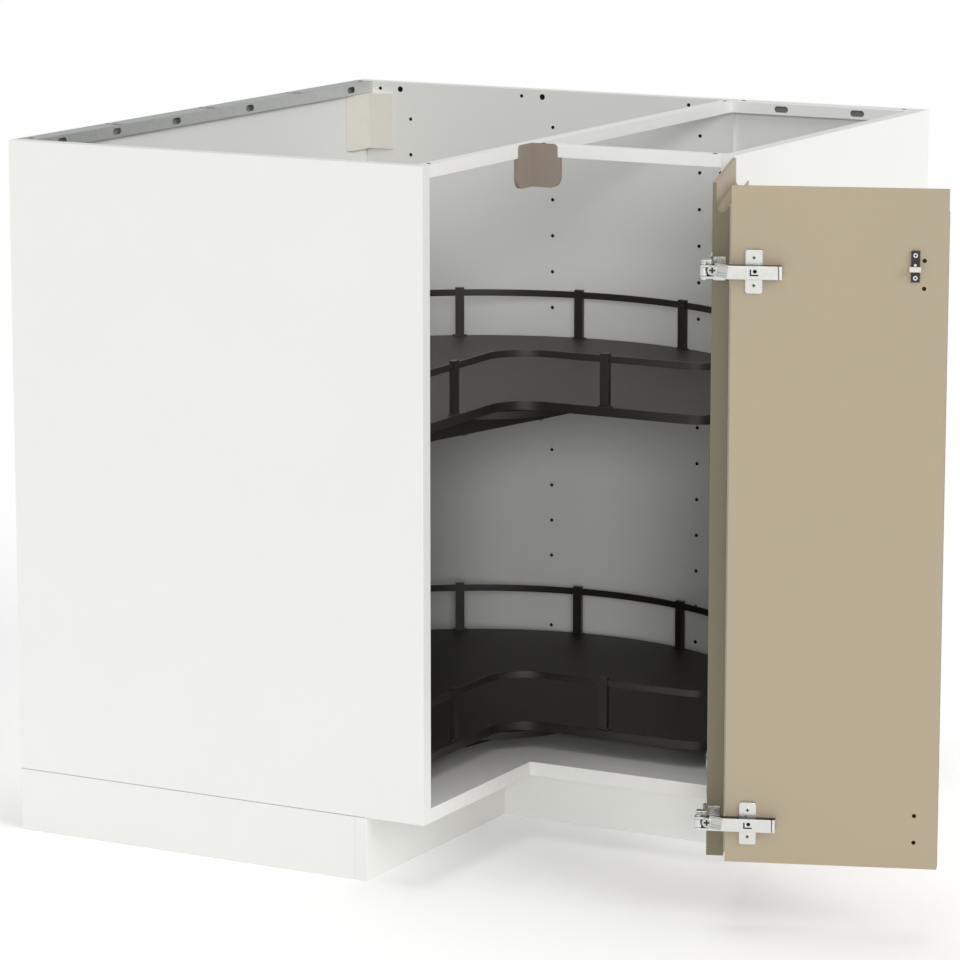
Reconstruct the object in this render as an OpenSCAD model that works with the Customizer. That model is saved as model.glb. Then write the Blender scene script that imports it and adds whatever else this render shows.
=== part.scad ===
// Corner base cabinet, open at the top, with two turning trays and a folding pair of doors.
// Two walls meet at the rear corner. X runs along the short wing's wall, minus Y along the long
// wing's wall, and Z is up. The modules work from the two wall planes. The whole is then shifted
// so that the origin is the centre of the rear corner foot's sole, on the floor.

/* [Carcass] */
// Length of the cabinet along each wall
run = 875; // [870:1:890]
// Distance from the wall to the front edges of the panels
depth = 600; // [598:1:604]
// Height of the panels, without the legs
carcass_h = 800; // [796:1:840]
// Thickness of the side panels and the bottom
panel_t = 18; // [16:1:19]
// Gap between the wall and the rear edges of the long wing
wall_gap = 14; // [8:1:16]
// Thickness of the two back boards
back_t = 4; // [3:0.5:5]
// Distance from the long wing's rear edges to the front of its back board
long_back_in = 18; // [14:1:20]
// Distance from the short wing's rear edges to the front of its back board
short_back_in = 12; // [10:1:14]
// Depth of the grooves that hold the back boards
groove_deep = 6; // [4:0.5:8]

/* [Rails] */
// Height of all the steel rails
rail_h = 15.5; // [14:0.5:18]
// Sheet thickness of the rails
rail_sheet = 1.2; // [1:0.1:1.5]
// Width of the two front rails
front_rail_w = 17; // [15:0.5:20]
// Width of the two rear rails
rear_rail_w = 27; // [24:0.5:30]
// Length of the slots in the rear rails
slot_l = 20; // [16:0.5:24]
// Height of the slots in the rear rails
slot_w = 8.4; // [7:0.2:9]
// Places of the suspension rail's slots, as shares of the cabinet's length from the room corner
slot_shares = [0.0891, 0.3966, 0.6057, 0.7669, 0.9097]; // [0.05:0.0001:0.95]
// Places of the small slots in the suspension rail's top, as shares of the same length
top_slot_shares = [0.2411, 0.4949, 0.7509]; // [0.05:0.0001:0.95]
// Distance between the rear short rail's two slots
short_slot_span = 110; // [100:1:130]
// Length of the moulded connector in each rail end
connector_l = 24; // [20:1:30]

/* [Shelf holes] */
// Diameter of the shelf holes
hole_d = 5; // [4:0.1:6]
// Depth of the shelf holes
hole_deep = 12; // [8:1:13]
// Height of the lowest shelf hole above the panels' lower edges
hole_first_up = 49.5; // [46:0.5:60]
// Spacing of the shelf holes up the panel
hole_pitch = 50; // [40:1:50]
// Least distance of the highest shelf hole from the panels' upper edges
hole_last_down = 45; // [40:1:80]
// Distance of the rear column of holes from the wall behind the long wing
column_rear = 102; // [90:0.5:110]
// Distance of the front column of holes from the panels' front edges
column_front = 50; // [45:0.5:60]

/* [Legs and plinths] */
// Height of the legs
leg_h = 80; // [76:1:100]
// Distance of the rear legs from the rear edges of the panels
leg_in = 70; // [60:1:80]
// Radius of a foot's sole
foot_r = 25; // [20:1:28]
// Outer radius of a leg's socket tube
socket_r = 16; // [15:0.5:18]
// Thickness of the plinth boards
plinth_t = 16; // [14:1:18]
// How far the front plinths stand back from the panels' front edges
plinth_back = 80; // [60:1:90]
// Gap between the plinths' top edges and the panels
plinth_gap = 0.5; // [0.3:0.1:3]
// Distance from a front leg's centre to the back of its plinth
leg_to_plinth = 34; // [30:1:40]

/* [Trays] */
// Least distance of a tray's edge from each wall
tray_free = 51.5; // [50:0.5:66]
// Thickness of the tray boards with their edging
tray_t = 12; // [10:0.5:14]
// Thickness of the edging round a tray board
edging_t = 1; // [0.6:0.1:2]
// Distance from the turning axis to the notch's two straight edges
notch_in = 97; // [90:1:100]
// Radius of the notch's inner corner
notch_r = 50; // [40:1:60]
// Radius of the two outer corners beside the notch
lobe_r = 35; // [25:1:45]
// Height of the lower tray's floor above the bottom panel
lower_floor_up = 34.4; // [33:0.2:42]
// Height of the upper tray's floor above the bottom panel
upper_floor_up = 449; // [420:1:462]
// Height of the gallery rail's top above the tray's floor
gallery_h = 64.5; // [55:0.5:75]
// Height of the gallery rail's strip
strip_h = 9; // [7:0.5:12]
// Thickness of the gallery rail's strip
strip_t = 2.5; // [2:0.1:3]
// Distance from the board's edge to the gallery rail's outer face
strip_in = 5.5; // [4.5:0.1:8]
// Width of a gallery post
post_w = 12; // [10:0.5:14]
// Thickness of a gallery post
post_t = 7; // [6:0.2:8]
// Height of a post's head above the rail
post_head = 2.6; // [1:0.1:4]
// Number of posts on each half of the round side
posts_per_side = 6; // [4:1:7]
// Angle between neighbouring posts
post_step = 25.2; // [20:0.1:25.2]
// Distance of the notch's posts from the turning axis, along the notch's edges
notch_post_out = 229; // [200:1:250]

/* [Turntables] */
// Height of a turntable, from its base to the tray board
turn_h = 12; // [12:0.5:13]
// Radius of a turntable's disc
disc_r = 162; // [156:1:170]
// Height of the disc's skirt and top together
disc_h = 9.4; // [8.5:0.1:9.8]
// Thickness of the disc's top
disc_top = 2.4; // [2:0.1:3]
// Thickness of the steel base plate
base_t = 2.2; // [2:0.1:3]
// Radius of the ring on which the balls run
race_r = 66; // [60:1:70]
// Diameter of a ball
ball_d = 5; // [4.6:0.1:5.2]
// Number of balls in a turntable
ball_count = 24; // [18:1:28]
// Radius of the stud on which the disc turns
stud_r = 8; // [6:0.5:10]
// Running clearance of the stud, on the radius
stud_fit = 0.05; // [0.03:0.01:0.1]
// Distance from the turning axis to the base bolts, across the support shelf's front edge
bolt_across = 78; // [74:1:80]
// Spacing of the base bolts along the support shelf's front edge
bolt_pitch = 147; // [130:1:150]
// Shift of the base bolts along that edge
bolt_shift = -42; // [-44:1:-36]

/* [Support shelf] */
// Thickness of the support shelf
shelf_t = 18; // [16:1:20]
// Angle of the shelf's front edge from the X axis
shelf_angle = 77.3; // [76:0.1:79]
// Distance from the turning axis to the shelf's front edge
shelf_edge = 90; // [88:0.5:94]
// How far the shelf stays behind the panels' front edges
shelf_back = 10; // [6:1:20]
// Clearance between the shelf and the panels
shelf_fit = 0.5; // [0.3:0.1:1]

/* [Doors] */
// Thickness of the door leaves
leaf_t = 20; // [18:0.5:20]
// Clearance between the leaves and the panels' front edges
door_gap = 2; // [1.6:0.1:3]
// Gap between each leaf and the line of the other leaf's outer face
fold_gap = 4; // [3:0.5:6]
// How far each leaf's outer end stays inside the cabinet's side face
leaf_end = 2; // [1.6:0.1:2]
// Height of the leaves' lower edges above the panels' lower edges
leaf_low = 2; // [1:0.5:4]
// How far the leaves' upper edges stay below the panels' upper edges
leaf_drop = 2.5; // [1:0.5:4]
// Angle to which the hinged leaf is opened
open_angle = 110; // [90:1:110]
// Thickness of the inner lip of the grip along the top
lip_t = 4.5; // [3.5:0.1:5]
// Radius of the grip's valley
valley_r = 7; // [6:0.1:7]
// Depth of the valley's centre below the leaf's upper edge
valley_deep = 27; // [20:0.5:30]

/* [Hinges] */
// Least distance of the upper hinge's centre from the panels' upper edges
hinge_down = 96; // [90:1:120]
// Height of a hinge arm
arm_h = 15.8; // [14:0.2:18]
// How far a hinge arm stands proud of its mounting face
arm_proud = 13; // [12:0.2:13]
// Sheet thickness of a hinge arm
arm_sheet = 1.5; // [1.2:0.1:2]
// Length of a hinge arm behind the centre of its plate
arm_back = 33; // [30:1:36]
// Length of the cap at a hinge arm's rear end
arm_cap_l = 3.5; // [3:0.1:5]
// Length of the angled window in a hinge arm
window_l = 9.9; // [8:0.1:11]
// Height of that window
window_h = 7.4; // [6:0.1:8]
// Width of the window's two legs
window_leg = 1.6; // [1.4:0.1:2]
// Diameter of the adjusting screw in a hinge arm
arm_screw_d = 4; // [3.5:0.1:4.5]
// Thickness of a hinge plate
plate_t = 2.5; // [2:0.1:3]
// Width of a hinge plate
plate_w = 19.6; // [18:0.2:22]
// Height of a hinge plate
plate_h = 50.5; // [48:0.5:50.5]
// Radius of a hinge plate's corners
plate_r = 3; // [2:0.5:5]
// Spacing of a hinge plate's two screws
screw_span = 32; // [30:1:34]
// Distance of the fold hinge's plate from the folding leaf's end
fold_plate_in = 26.6; // [24:0.2:30]
// Distance of the fold pin inside the panels' front planes
fold_pin_in = 4; // [3.5:0.1:4.5]
// Radius of the fold hinge's barrel
barrel_r = 5.2; // [5:0.1:5.3]
// Radius of the hinge pins
pin_r = 2.2; // [2:0.1:2.6]
// Running clearance of the hinge pins, on the radius
pin_fit = 0.05; // [0.03:0.01:0.1]
// Height of the barrel between the arm's ears
barrel_h = 9.6; // [8:0.1:10]
// Gap between the barrel and each ear
ear_gap = 0.3; // [0.2:0.05:0.3]
// Radius of a hinge cup in the leaf
cup_r = 17.5; // [17:0.1:18]
// Depth of a hinge cup
cup_deep = 12; // [11:0.1:13]
// Distance of a cup's centre from the leaf's end
cup_in = 22.5; // [21.5:0.1:24]
// Distance of the cabinet hinge's plate from the end panel's front edge
cabinet_plate_in = 37; // [36:0.5:40]

/* [Catch] */
// Distance of the catch from the folding leaf's free end
catch_in = 37; // [34:0.5:40]
// Height of the catch's centre above the upper hinge's
catch_up = 9.5; // [0:0.5:14]
// Width of the catch's plate
catch_w = 10; // [8:0.5:12]
// Height of the catch's plate
catch_h = 36; // [32:0.5:38]
// How far the roller stands proud of the leaf
roller_proud = 12.5; // [12:0.1:12.5]
// Diameter of the roller
roller_d = 6.8; // [6:0.1:7]
// Length of the roller
roller_l = 14.3; // [12:0.1:14.4]
// Radius of the roller's waist, which turns in the catch
waist_r = 1.2; // [1:0.1:1.5]

/* [Hidden] */
$fn = 64;
eps = 0.5;
top_z = leg_h + carcass_h;
floor_z = leg_h + panel_t;
rail_z = top_z - rail_h;
left_in = panel_t - run;
end_in = run - panel_t;
inner_in = -panel_t;
wing = end_in - depth;
corner_foot = [wall_gap + leg_in, -leg_in];
axis_in = run / 2;
turn_axis = [axis_in, -axis_in];
tray_r = axis_in - tray_free;
groove_fit = 0.2;
back_up = 0.6;
slot_places = run * slot_shares;
top_slot_places = run * top_slot_shares;
short_slot_places = [depth + wing / 2 - short_slot_span / 2, depth + wing / 2 + short_slot_span / 2];

hole_first_z = leg_h + hole_first_up;
hole_count = 1 + floor((top_z - hole_last_down - hole_first_z) / hole_pitch);
column_last = depth - column_front;
hole_columns = [column_rear, (column_rear + column_last) / 2, column_last];
lower_floor_z = floor_z + lower_floor_up;
upper_floor_z = floor_z + upper_floor_up;
hinge_span = hole_pitch * floor((top_z - hinge_down - hole_first_z) / hole_pitch);
hinge_z = [hole_first_z, hole_first_z + hinge_span];
swing = [run - leaf_end, -depth - door_gap];
fold = [depth - fold_pin_in, fold_pin_in - depth];
leaf_start = depth + door_gap + leaf_t + fold_gap;
leaf_w = run - leaf_end - leaf_start;
leaf_z = leg_h + leaf_low;
leaf_h = carcass_h - leaf_low - leaf_drop;
catch_z = hinge_z[1] + catch_up;

shelf_top = upper_floor_z - tray_t - turn_h;
shelf_z = shelf_top - shelf_t;
bracket_z = hole_first_z + hole_pitch * floor((shelf_z - 12 - hole_first_z) / hole_pitch);
lower_base_z = lower_floor_z - tray_t - turn_h;

leg_front_x = depth - plinth_back - plinth_t - leg_to_plinth;
leg_left_y = plinth_t + leg_to_plinth - run;
legs = [
    corner_foot,
    [corner_foot[0], leg_left_y],
    [leg_front_x, leg_left_y],
    [leg_front_x, -leg_front_x],
    [run - leg_in, -leg_front_x],
    [run - leg_in, -leg_in]
];

link_pivot = [end_in - 11, 8 - depth];
link_elbow = [-3.5, -11];
link_tip = [10.6, -17.4];
link_r = 3.2;
link_end_r = 4;

// Shifts what is drawn from the wall planes to the rear corner foot
module placed() {
    translate([-corner_foot[0], -corner_foot[1], 0]) children();
}

// Turns what is drawn with the doors shut to where the open doors stand
module opened() {
    translate([swing[0], swing[1], 0])
        rotate([0, 0, open_angle])
            translate([-swing[0], -swing[1], 0])
                children();
}

// A blind hole along Y from the point p, towards plus or minus Y by the sign of deep
module drill_y(p, d, deep) {
    translate([p[0], p[1] - sign(deep) * eps, p[2]])
        rotate([-90 * sign(deep), 0, 0])
            cylinder(d = d, h = abs(deep) + eps);
}

// A blind hole along X from the point p, towards plus or minus X by the sign of deep
module drill_x(p, d, deep) {
    translate([p[0] - sign(deep) * eps, p[1], p[2]])
        rotate([0, 90 * sign(deep), 0])
            cylinder(d = d, h = abs(deep) + eps);
}

// A rectangle with round ends
module stadium(l, w) {
    square([l - w, w], center = true);
    for (s = [-1, 1])
        translate([s * (l - w) / 2, 0])
            circle(d = w);
}

// A slot that runs along Y and is cut through in X
module slot_x(p, l, w, through) {
    translate([p[0] - through / 2, p[1], p[2]])
        rotate([90, 0, 90])
            linear_extrude(through)
                stadium(l, w);
}

// A slot that runs along X and is cut through in Y
module slot_y(p, l, w, through) {
    translate([p[0], p[1] + through / 2, p[2]])
        rotate([90, 0, 0])
            linear_extrude(through)
                stadium(l, w);
}

// A slot in a flat top, cut through in Z
module slot_z(p, l, w, through) {
    translate([p[0], p[1], p[2] - through / 2])
        linear_extrude(through)
            stadium(l, w);
}

// A pan-head screw with its head's underside at the origin, its shank along minus Z
module pan_screw(head_r, head_h, shank_r, shank_l) {
    rotate_extrude()
        polygon([
            [0, -shank_l],
            [shank_r, -shank_l + shank_r],
            [shank_r, 0],
            [head_r, 0],
            [head_r, head_h * 0.5],
            [head_r * 0.7, head_h],
            [0, head_h]
        ]);
}

// Columns of shelf holes in a panel's face
module hole_grid(y, deep) {
    for (x = hole_columns)
        for (i = [0 : hole_count - 1])
            drill_y([x, y, hole_first_z + i * hole_pitch], hole_d, deep);
}

dowel_d = 8;
dowel_l = 32;
dowel_side = 11;
dowel_places = [depth / 5, depth * 8 / 15, depth * 13 / 15];

// Dowels of the bottom panel, or the holes for them with a wider fit
module dowel_set(fit) {
    d = dowel_d + 2 * fit;
    z = leg_h + panel_t / 2;
    for (p = dowel_places) {
        translate([p, left_in - dowel_side - fit, z])
            rotate([-90, 0, 0])
                cylinder(d = d, h = dowel_l + 2 * fit);
        translate([p, inner_in + dowel_side + fit, z])
            rotate([90, 0, 0])
                cylinder(d = d, h = dowel_l + 2 * fit);
        translate([end_in + dowel_side + fit, -p, z])
            rotate([0, -90, 0])
                cylinder(d = d, h = dowel_l + 2 * fit);
    }
}

module panel_dowels() {
    color("burlywood") dowel_set(0);
}

// Pegs of the rail connectors, or the holes for them with a wider fit
peg_d = 5;
peg_l = 9;
module peg_set(fit) {
    d = peg_d + 2 * fit;
    z = rail_z + rail_h / 2;
    translate([depth - front_rail_w / 2, left_in - peg_l, z])
        rotate([-90, 0, 0])
            cylinder(d = d, h = peg_l + 1);
    translate([depth - front_rail_w / 2, inner_in - 1, z])
        rotate([-90, 0, 0])
            cylinder(d = d, h = peg_l + 1);
    translate([end_in - 1, front_rail_w / 2 - depth, z])
        rotate([0, 90, 0])
            cylinder(d = d, h = peg_l + 1);
    translate([end_in - 1, -rear_rail_w / 2, z])
        rotate([0, 90, 0])
            cylinder(d = d, h = peg_l + 1);
    translate([wall_gap + rear_rail_w / 2, left_in - peg_l, z])
        rotate([-90, 0, 0])
            cylinder(d = d, h = peg_l + 1);
    translate([wall_gap + rear_rail_w / 2, inner_in - 1, z])
        rotate([-90, 0, 0])
            cylinder(d = d, h = peg_l + 1);
}

// The long back board's space, or its groove with a wider fit
module long_back(fit, end) {
    x = wall_gap + long_back_in - back_t;
    translate([x - fit, left_in - groove_deep + end, floor_z - groove_deep + end])
        cube([
            back_t + 2 * fit,
            inner_in - left_in + 2 * (groove_deep - end),
            rail_z + back_up - floor_z + groove_deep - end
        ]);
}

// The short back board's space, or its groove with a wider fit
module short_back(fit, end) {
    translate([depth - groove_deep + end, -short_back_in - fit, floor_z - groove_deep + end])
        cube([
            wing + 2 * (groove_deep - end),
            back_t + 2 * fit,
            rail_z + back_up - floor_z + groove_deep - end
        ]);
}

module left_side_panel() {
    color([0.93, 0.93, 0.91])
        difference() {
            translate([wall_gap, -run, leg_h])
                cube([depth - wall_gap, panel_t, carcass_h]);
            hole_grid(left_in, -hole_deep);
            long_back(groove_fit, 0);
            dowel_set(groove_fit);
            peg_set(groove_fit);
        }
}

top_holes_z = 9.5;
top_holes = [[53.5, 5], [85.5, 8], [277.3, 5], [309.4, 8], [532.4, 5]];
edge_hole_in = 18.6;
edge_hole_up = 1.5;
edge_hole = [depth - edge_hole_in, hinge_z[1] + edge_hole_up];

module inner_side_panel() {
    color([0.85, 0.85, 0.83])
        difference() {
            translate([wall_gap, inner_in, leg_h])
                cube([depth - wall_gap, panel_t, carcass_h]);
            hole_grid(inner_in, hole_deep);
            for (h = top_holes)
                drill_y([h[0], inner_in, top_z - top_holes_z], h[1], hole_deep);
            drill_y([edge_hole[0], inner_in, edge_hole[1]], hole_d, hole_deep);
            long_back(groove_fit, 0);
            short_back(groove_fit, 0);
            dowel_set(groove_fit);
            peg_set(groove_fit);
        }
}

module end_side_panel() {
    color([0.93, 0.93, 0.91])
        difference() {
            translate([end_in, -depth, leg_h])
                cube([panel_t, depth, carcass_h]);
            for (z = hinge_z)
                for (s = [-1, 1])
                    drill_x([end_in, cabinet_plate_in - depth, z + s * screw_span / 2], hole_d, hole_deep);
            short_back(groove_fit, 0);
            dowel_set(groove_fit);
            peg_set(groove_fit);
        }
}

// Bolt positions of a turntable base, from the turning axis
function bolt_points() = [
    for (a = [-1, 1])
        for (b = [-1, 1])
            [a * bolt_across, bolt_shift + b * bolt_pitch / 2]
];

// Draws its children in the turntable's own directions, across and along the shelf's front edge
module on_axis(z) {
    translate([turn_axis[0], turn_axis[1], z])
        rotate([0, 0, shelf_angle - 90])
            children();
}

bolt_r = 2.5;
bolt_fit = 0.2;

module base_bolt_holes(z, h) {
    on_axis(z)
        for (p = bolt_points())
            translate([p[0], p[1], -eps])
                cylinder(r = bolt_r + bolt_fit, h = h + 2 * eps);
}

module bottom_panel() {
    color([0.88, 0.88, 0.86])
        difference() {
            translate([0, 0, leg_h])
                linear_extrude(panel_t)
                    polygon([
                        [wall_gap, left_in],
                        [depth, left_in],
                        [depth, -depth],
                        [end_in, -depth],
                        [end_in, 0],
                        [depth, 0],
                        [depth, inner_in],
                        [wall_gap, inner_in]
                    ]);
            long_back(groove_fit, 0);
            short_back(groove_fit, 0);
            dowel_set(groove_fit);
            base_bolt_holes(leg_h, panel_t);
        }
}

module long_back_panel() {
    color([0.82, 0.82, 0.80]) long_back(0, groove_fit);
}

module short_back_panel() {
    color([0.74, 0.74, 0.73]) short_back(0, groove_fit);
}

// An inverted channel along X, its outer faces at y = 0 and y = w, its underside open
module channel(l, w) {
    difference() {
        cube([l, w, rail_h]);
        translate([-eps, rail_sheet, -eps])
            cube([l + 2 * eps, w - 2 * rail_sheet, rail_h - rail_sheet + eps]);
    }
}

connector_slot_l = 9;
connector_slot_w = 5;

module suspension_rail() {
    z = rail_z + rail_h / 2;
    x = wall_gap + rear_rail_w / 2;
    color([0.66, 0.68, 0.67])
        difference() {
            translate([wall_gap + rear_rail_w, left_in, rail_z])
                rotate([0, 0, 90])
                    channel(inner_in - left_in, rear_rail_w);
            for (y = slot_places)
                slot_x([x, -y, z], slot_l, slot_w, rear_rail_w + 2);
            for (y = top_slot_places)
                slot_z([x, -y, top_z], 6, 16, 4);
            for (y = [left_in + connector_l / 2, inner_in - connector_l / 2])
                slot_z([x, y, top_z], connector_slot_l, connector_slot_w, 4);
        }
}

module rear_short_rail() {
    z = rail_z + rail_h / 2;
    color([0.86, 0.87, 0.86])
        difference() {
            translate([depth, -rear_rail_w, rail_z])
                channel(wing, rear_rail_w);
            for (x = short_slot_places)
                slot_y([x, -rear_rail_w / 2, z], slot_l, slot_w, rear_rail_w + 2);
            for (x = [depth + connector_l / 2, end_in - connector_l / 2])
                slot_z([x, -rear_rail_w / 2, top_z], connector_slot_l, connector_slot_w, 4);
        }
}

module long_front_rail() {
    x = depth - front_rail_w / 2;
    color([0.94, 0.94, 0.92])
        difference() {
            translate([depth, left_in, rail_z])
                rotate([0, 0, 90])
                    channel(inner_in - left_in, front_rail_w);
            for (y = [left_in + connector_l / 2, inner_in - connector_l / 2])
                slot_z([x, y, top_z], connector_slot_l, connector_slot_w, 4);
        }
}

module short_front_rail() {
    color([0.94, 0.94, 0.92])
        difference() {
            translate([depth, -depth, rail_z])
                channel(wing, front_rail_w);
            for (x = [depth + connector_l / 2, end_in - connector_l / 2])
                slot_z([x, front_rail_w / 2 - depth, top_z], connector_slot_l, connector_slot_w, 4);
        }
}

connector_fit = 0.2;

// One moulded connector under a rail's end, along X from the origin
module connector(w) {
    inside = w - 2 * rail_sheet - 2 * connector_fit;
    difference() {
        translate([0, -inside / 2, 1])
            cube([connector_l, inside, rail_h - rail_sheet - 1]);
        translate([connector_l / 2, 0, rail_h - 8])
            cylinder(d = connector_slot_w, h = 8);
    }
}

module rail_connectors() {
    color([0.9, 0.9, 0.88]) {
        for (w = [[depth - front_rail_w / 2, front_rail_w], [wall_gap + rear_rail_w / 2, rear_rail_w]]) {
            translate([w[0], left_in, rail_z])
                rotate([0, 0, 90])
                    connector(w[1]);
            translate([w[0], inner_in, rail_z])
                rotate([0, 0, -90])
                    connector(w[1]);
        }
        for (w = [[front_rail_w / 2 - depth, front_rail_w], [-rear_rail_w / 2, rear_rail_w]]) {
            translate([depth, w[0], rail_z])
                connector(w[1]);
            translate([end_in, w[0], rail_z])
                rotate([0, 0, 180])
                    connector(w[1]);
        }
        peg_set(0);
    }
}

bracket_wing = 43;
bracket_side = 59;
bracket_sheet = 2.5;
bracket_h = 78;
bracket_drop = 0.3;

module rear_corner_bracket() {
    x = wall_gap + long_back_in;
    y = inner_in;
    z = rail_z - bracket_drop - bracket_h;
    color([0.81, 0.78, 0.72])
        translate([0, 0, z])
            linear_extrude(bracket_h)
                polygon([
                    [x, y],
                    [x, y - bracket_side],
                    [x + 1, y - bracket_side],
                    [x + bracket_sheet + 5, y - bracket_side + 14],
                    [x + bracket_sheet + 5, y - bracket_sheet - 6],
                    [x + bracket_wing, y - bracket_sheet],
                    [x + bracket_wing, y]
                ]);
}

stop_wing = 36;
stop_wide = 40;
stop_free = 0.4;
stop_thin = door_gap - stop_free;
stop_thick = 5;
stop_up = 1;
stop_h = 54;

// One wing of the corner stop: upper part flat on the rail, lower part thicker, below the rail
module stop_side(u, thick, low) {
    r = low ? 14 : 5;
    z0 = top_z + stop_up - stop_h;
    z1 = rail_z - 0.4;
    bottom = low ? z0 : z1;
    top = low ? z1 : top_z + stop_up;
    rotate([90, 0, 0])
        linear_extrude(thick) {
            difference() {
                translate([0, bottom])
                    square([u, top - bottom]);
                translate([u - r, low ? bottom : top - r])
                    square([r, r]);
            }
            translate([u - r, low ? bottom + r : top - r])
                intersection() {
                    circle(r = r);
                    translate([-r, -r])
                        square([2 * r, 2 * r]);
                }
        }
}

module door_corner_stop() {
    color([0.52, 0.47, 0.43]) {
        translate([depth, -depth, 0]) {
            stop_side(stop_wing, stop_thin, false);
            translate([0, stop_thick - stop_thin, 0])
                stop_side(stop_wide, stop_thick, true);
            mirror([1, 1, 0]) {
                stop_side(stop_wing, stop_thin, false);
                translate([0, stop_thick - stop_thin, 0])
                    stop_side(stop_wide, stop_thick, true);
            }
        }
    }
}

module leg_socket() {
    difference() {
        union() {
            translate([0, 0, leg_h - 4])
                linear_extrude(4)
                    stadium(2.6 * socket_r + 24, 2.6 * socket_r);
            translate([0, 0, 24])
                cylinder(r = socket_r, h = leg_h - 24);
            for (a = [0 : 60 : 300])
                rotate([0, 0, a])
                    translate([socket_r - 1, -1, leg_h - 16])
                        cube([4.5, 2, 14]);
        }
        translate([0, 0, 23])
            cylinder(r = socket_r - 3, h = leg_h - 33);
    }
}

module levelling_foot() {
    rotate_extrude()
        polygon([
            [0, 0],
            [foot_r - 1, 0],
            [foot_r, 1],
            [foot_r, 5],
            [socket_r, 9],
            [socket_r, 22],
            [socket_r - 3.1, 22],
            [socket_r - 3.1, leg_h - 16],
            [0, leg_h - 16]
        ]);
}

module leg_sockets() {
    color([0.15, 0.15, 0.15])
        for (p = legs)
            translate([p[0], p[1], 0])
                leg_socket();
}

module levelling_feet() {
    color([0.18, 0.18, 0.18])
        for (p = legs)
            translate([p[0], p[1], 0])
                levelling_foot();
}

plinth_h = leg_h - plinth_gap;

module side_plinth() {
    color([0.94, 0.94, 0.92])
        translate([wall_gap, -run, 0])
            cube([depth - plinth_back - plinth_t - wall_gap, plinth_t, plinth_h]);
}

module front_plinth_long() {
    color([0.94, 0.94, 0.92])
        translate([depth - plinth_back - plinth_t, -run, 0])
            cube([plinth_t, run - depth + plinth_back + plinth_t, plinth_h]);
}

module front_plinth_short() {
    color([0.94, 0.94, 0.92])
        translate([depth - plinth_back, plinth_back - depth, 0])
            cube([run - depth + plinth_back, plinth_t, plinth_h]);
}

clip_z = 40;
clip_h = 16;
clip_fit = 0.2;

// A clip from the leg at the origin to a plinth's back at x = leg_to_plinth
module plinth_clip() {
    difference() {
        union() {
            translate([0, 0, clip_z])
                cylinder(r = socket_r + 3, h = clip_h);
            translate([socket_r, -5, clip_z])
                cube([leg_to_plinth - socket_r - 1, 10, clip_h]);
            translate([leg_to_plinth - 3, -16, clip_z - 4])
                cube([3, 32, clip_h + 8]);
        }
        translate([0, 0, clip_z - 1])
            cylinder(r = socket_r + clip_fit, h = clip_h + 2);
        translate([-2 * socket_r, -socket_r * 0.72, clip_z - 1])
            cube([2 * socket_r, socket_r * 1.44, clip_h + 2]);
    }
}

module plinth_clips() {
    color([0.2, 0.2, 0.2]) {
        for (p = [legs[1], legs[2]])
            translate([p[0], p[1], 0])
                rotate([0, 0, -90])
                    plinth_clip();
        translate([legs[3][0], legs[3][1], 0])
            plinth_clip();
        translate([legs[4][0], legs[4][1], 0])
            rotate([0, 0, -90])
                plinth_clip();
    }
}

// Point on the support shelf's front edge line at a given y
function shelf_line_x(y) =
    turn_axis[0] + shelf_edge / sin(shelf_angle) + (y - turn_axis[1]) / tan(shelf_angle);

module support_shelf() {
    x0 = wall_gap + long_back_in + shelf_fit;
    x1 = depth - shelf_back;
    y0 = left_in + shelf_fit;
    y1 = inner_in - shelf_fit;
    edge_y = turn_axis[1] + (x1 - shelf_line_x(turn_axis[1])) * tan(shelf_angle);
    front = edge_y < y1 - 1 ? [[x1, edge_y], [x1, y1]] : [[shelf_line_x(y1), y1]];
    color([0.16, 0.15, 0.14])
        difference() {
            translate([0, 0, shelf_z])
                linear_extrude(shelf_t)
                    polygon(concat([[x0, y0], [shelf_line_x(y0), y0]], front, [[x0, y1]]));
            base_bolt_holes(shelf_z, shelf_t);
        }
}

shelf_bracket_w = 14;
shelf_bracket_t = 2;
shelf_bracket_l = 22;
shelf_bracket_low = 9;

// A bracket on a face whose outward direction is plus Y, hung from the hole at the origin
module shelf_bracket() {
    rise = shelf_z - bracket_z;
    difference() {
        union() {
            translate([-shelf_bracket_w / 2, 0, -shelf_bracket_low])
                cube([shelf_bracket_w, shelf_bracket_t, rise + shelf_bracket_low]);
            translate([-shelf_bracket_w / 2, 0, rise - shelf_bracket_t])
                cube([shelf_bracket_w, shelf_bracket_l, shelf_bracket_t]);
        }
        translate([0, 14, rise - 4])
            cylinder(d = 4.2, h = 6);
    }
    translate([0, -hole_deep + 2, 0])
        rotate([-90, 0, 0])
            cylinder(d = hole_d - 2 * pin_fit, h = hole_deep);
}

module support_shelf_brackets() {
    color([0.75, 0.75, 0.75]) {
        for (i = [0, 1])
            translate([hole_columns[i], left_in, bracket_z])
                shelf_bracket();
        for (i = [0, 2])
            translate([hole_columns[i], inner_in, bracket_z])
                mirror([0, 1, 0])
                    shelf_bracket();
    }
}

base_across = bolt_across + 8;
base_low = bolt_shift - bolt_pitch / 2 - 12;
base_high = race_r + 14;
base_corner_r = 10;

// The base plate's outline: a rectangle with round corners
module base_outline() {
    translate([-base_across, base_low + base_corner_r])
        square([2 * base_across, base_high - base_low - 2 * base_corner_r]);
    translate([base_corner_r - base_across, base_low])
        square([2 * (base_across - base_corner_r), base_high - base_low]);
    for (x = [-1, 1])
        for (y = [base_low + base_corner_r, base_high - base_corner_r])
            translate([x * (base_across - base_corner_r), y])
                circle(r = base_corner_r);
}

ball_fit = 0.1;
race_half = 6;
ball_z = (base_t + turn_h - disc_top) / 2;
race_top = ball_z - 1.4;

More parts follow.
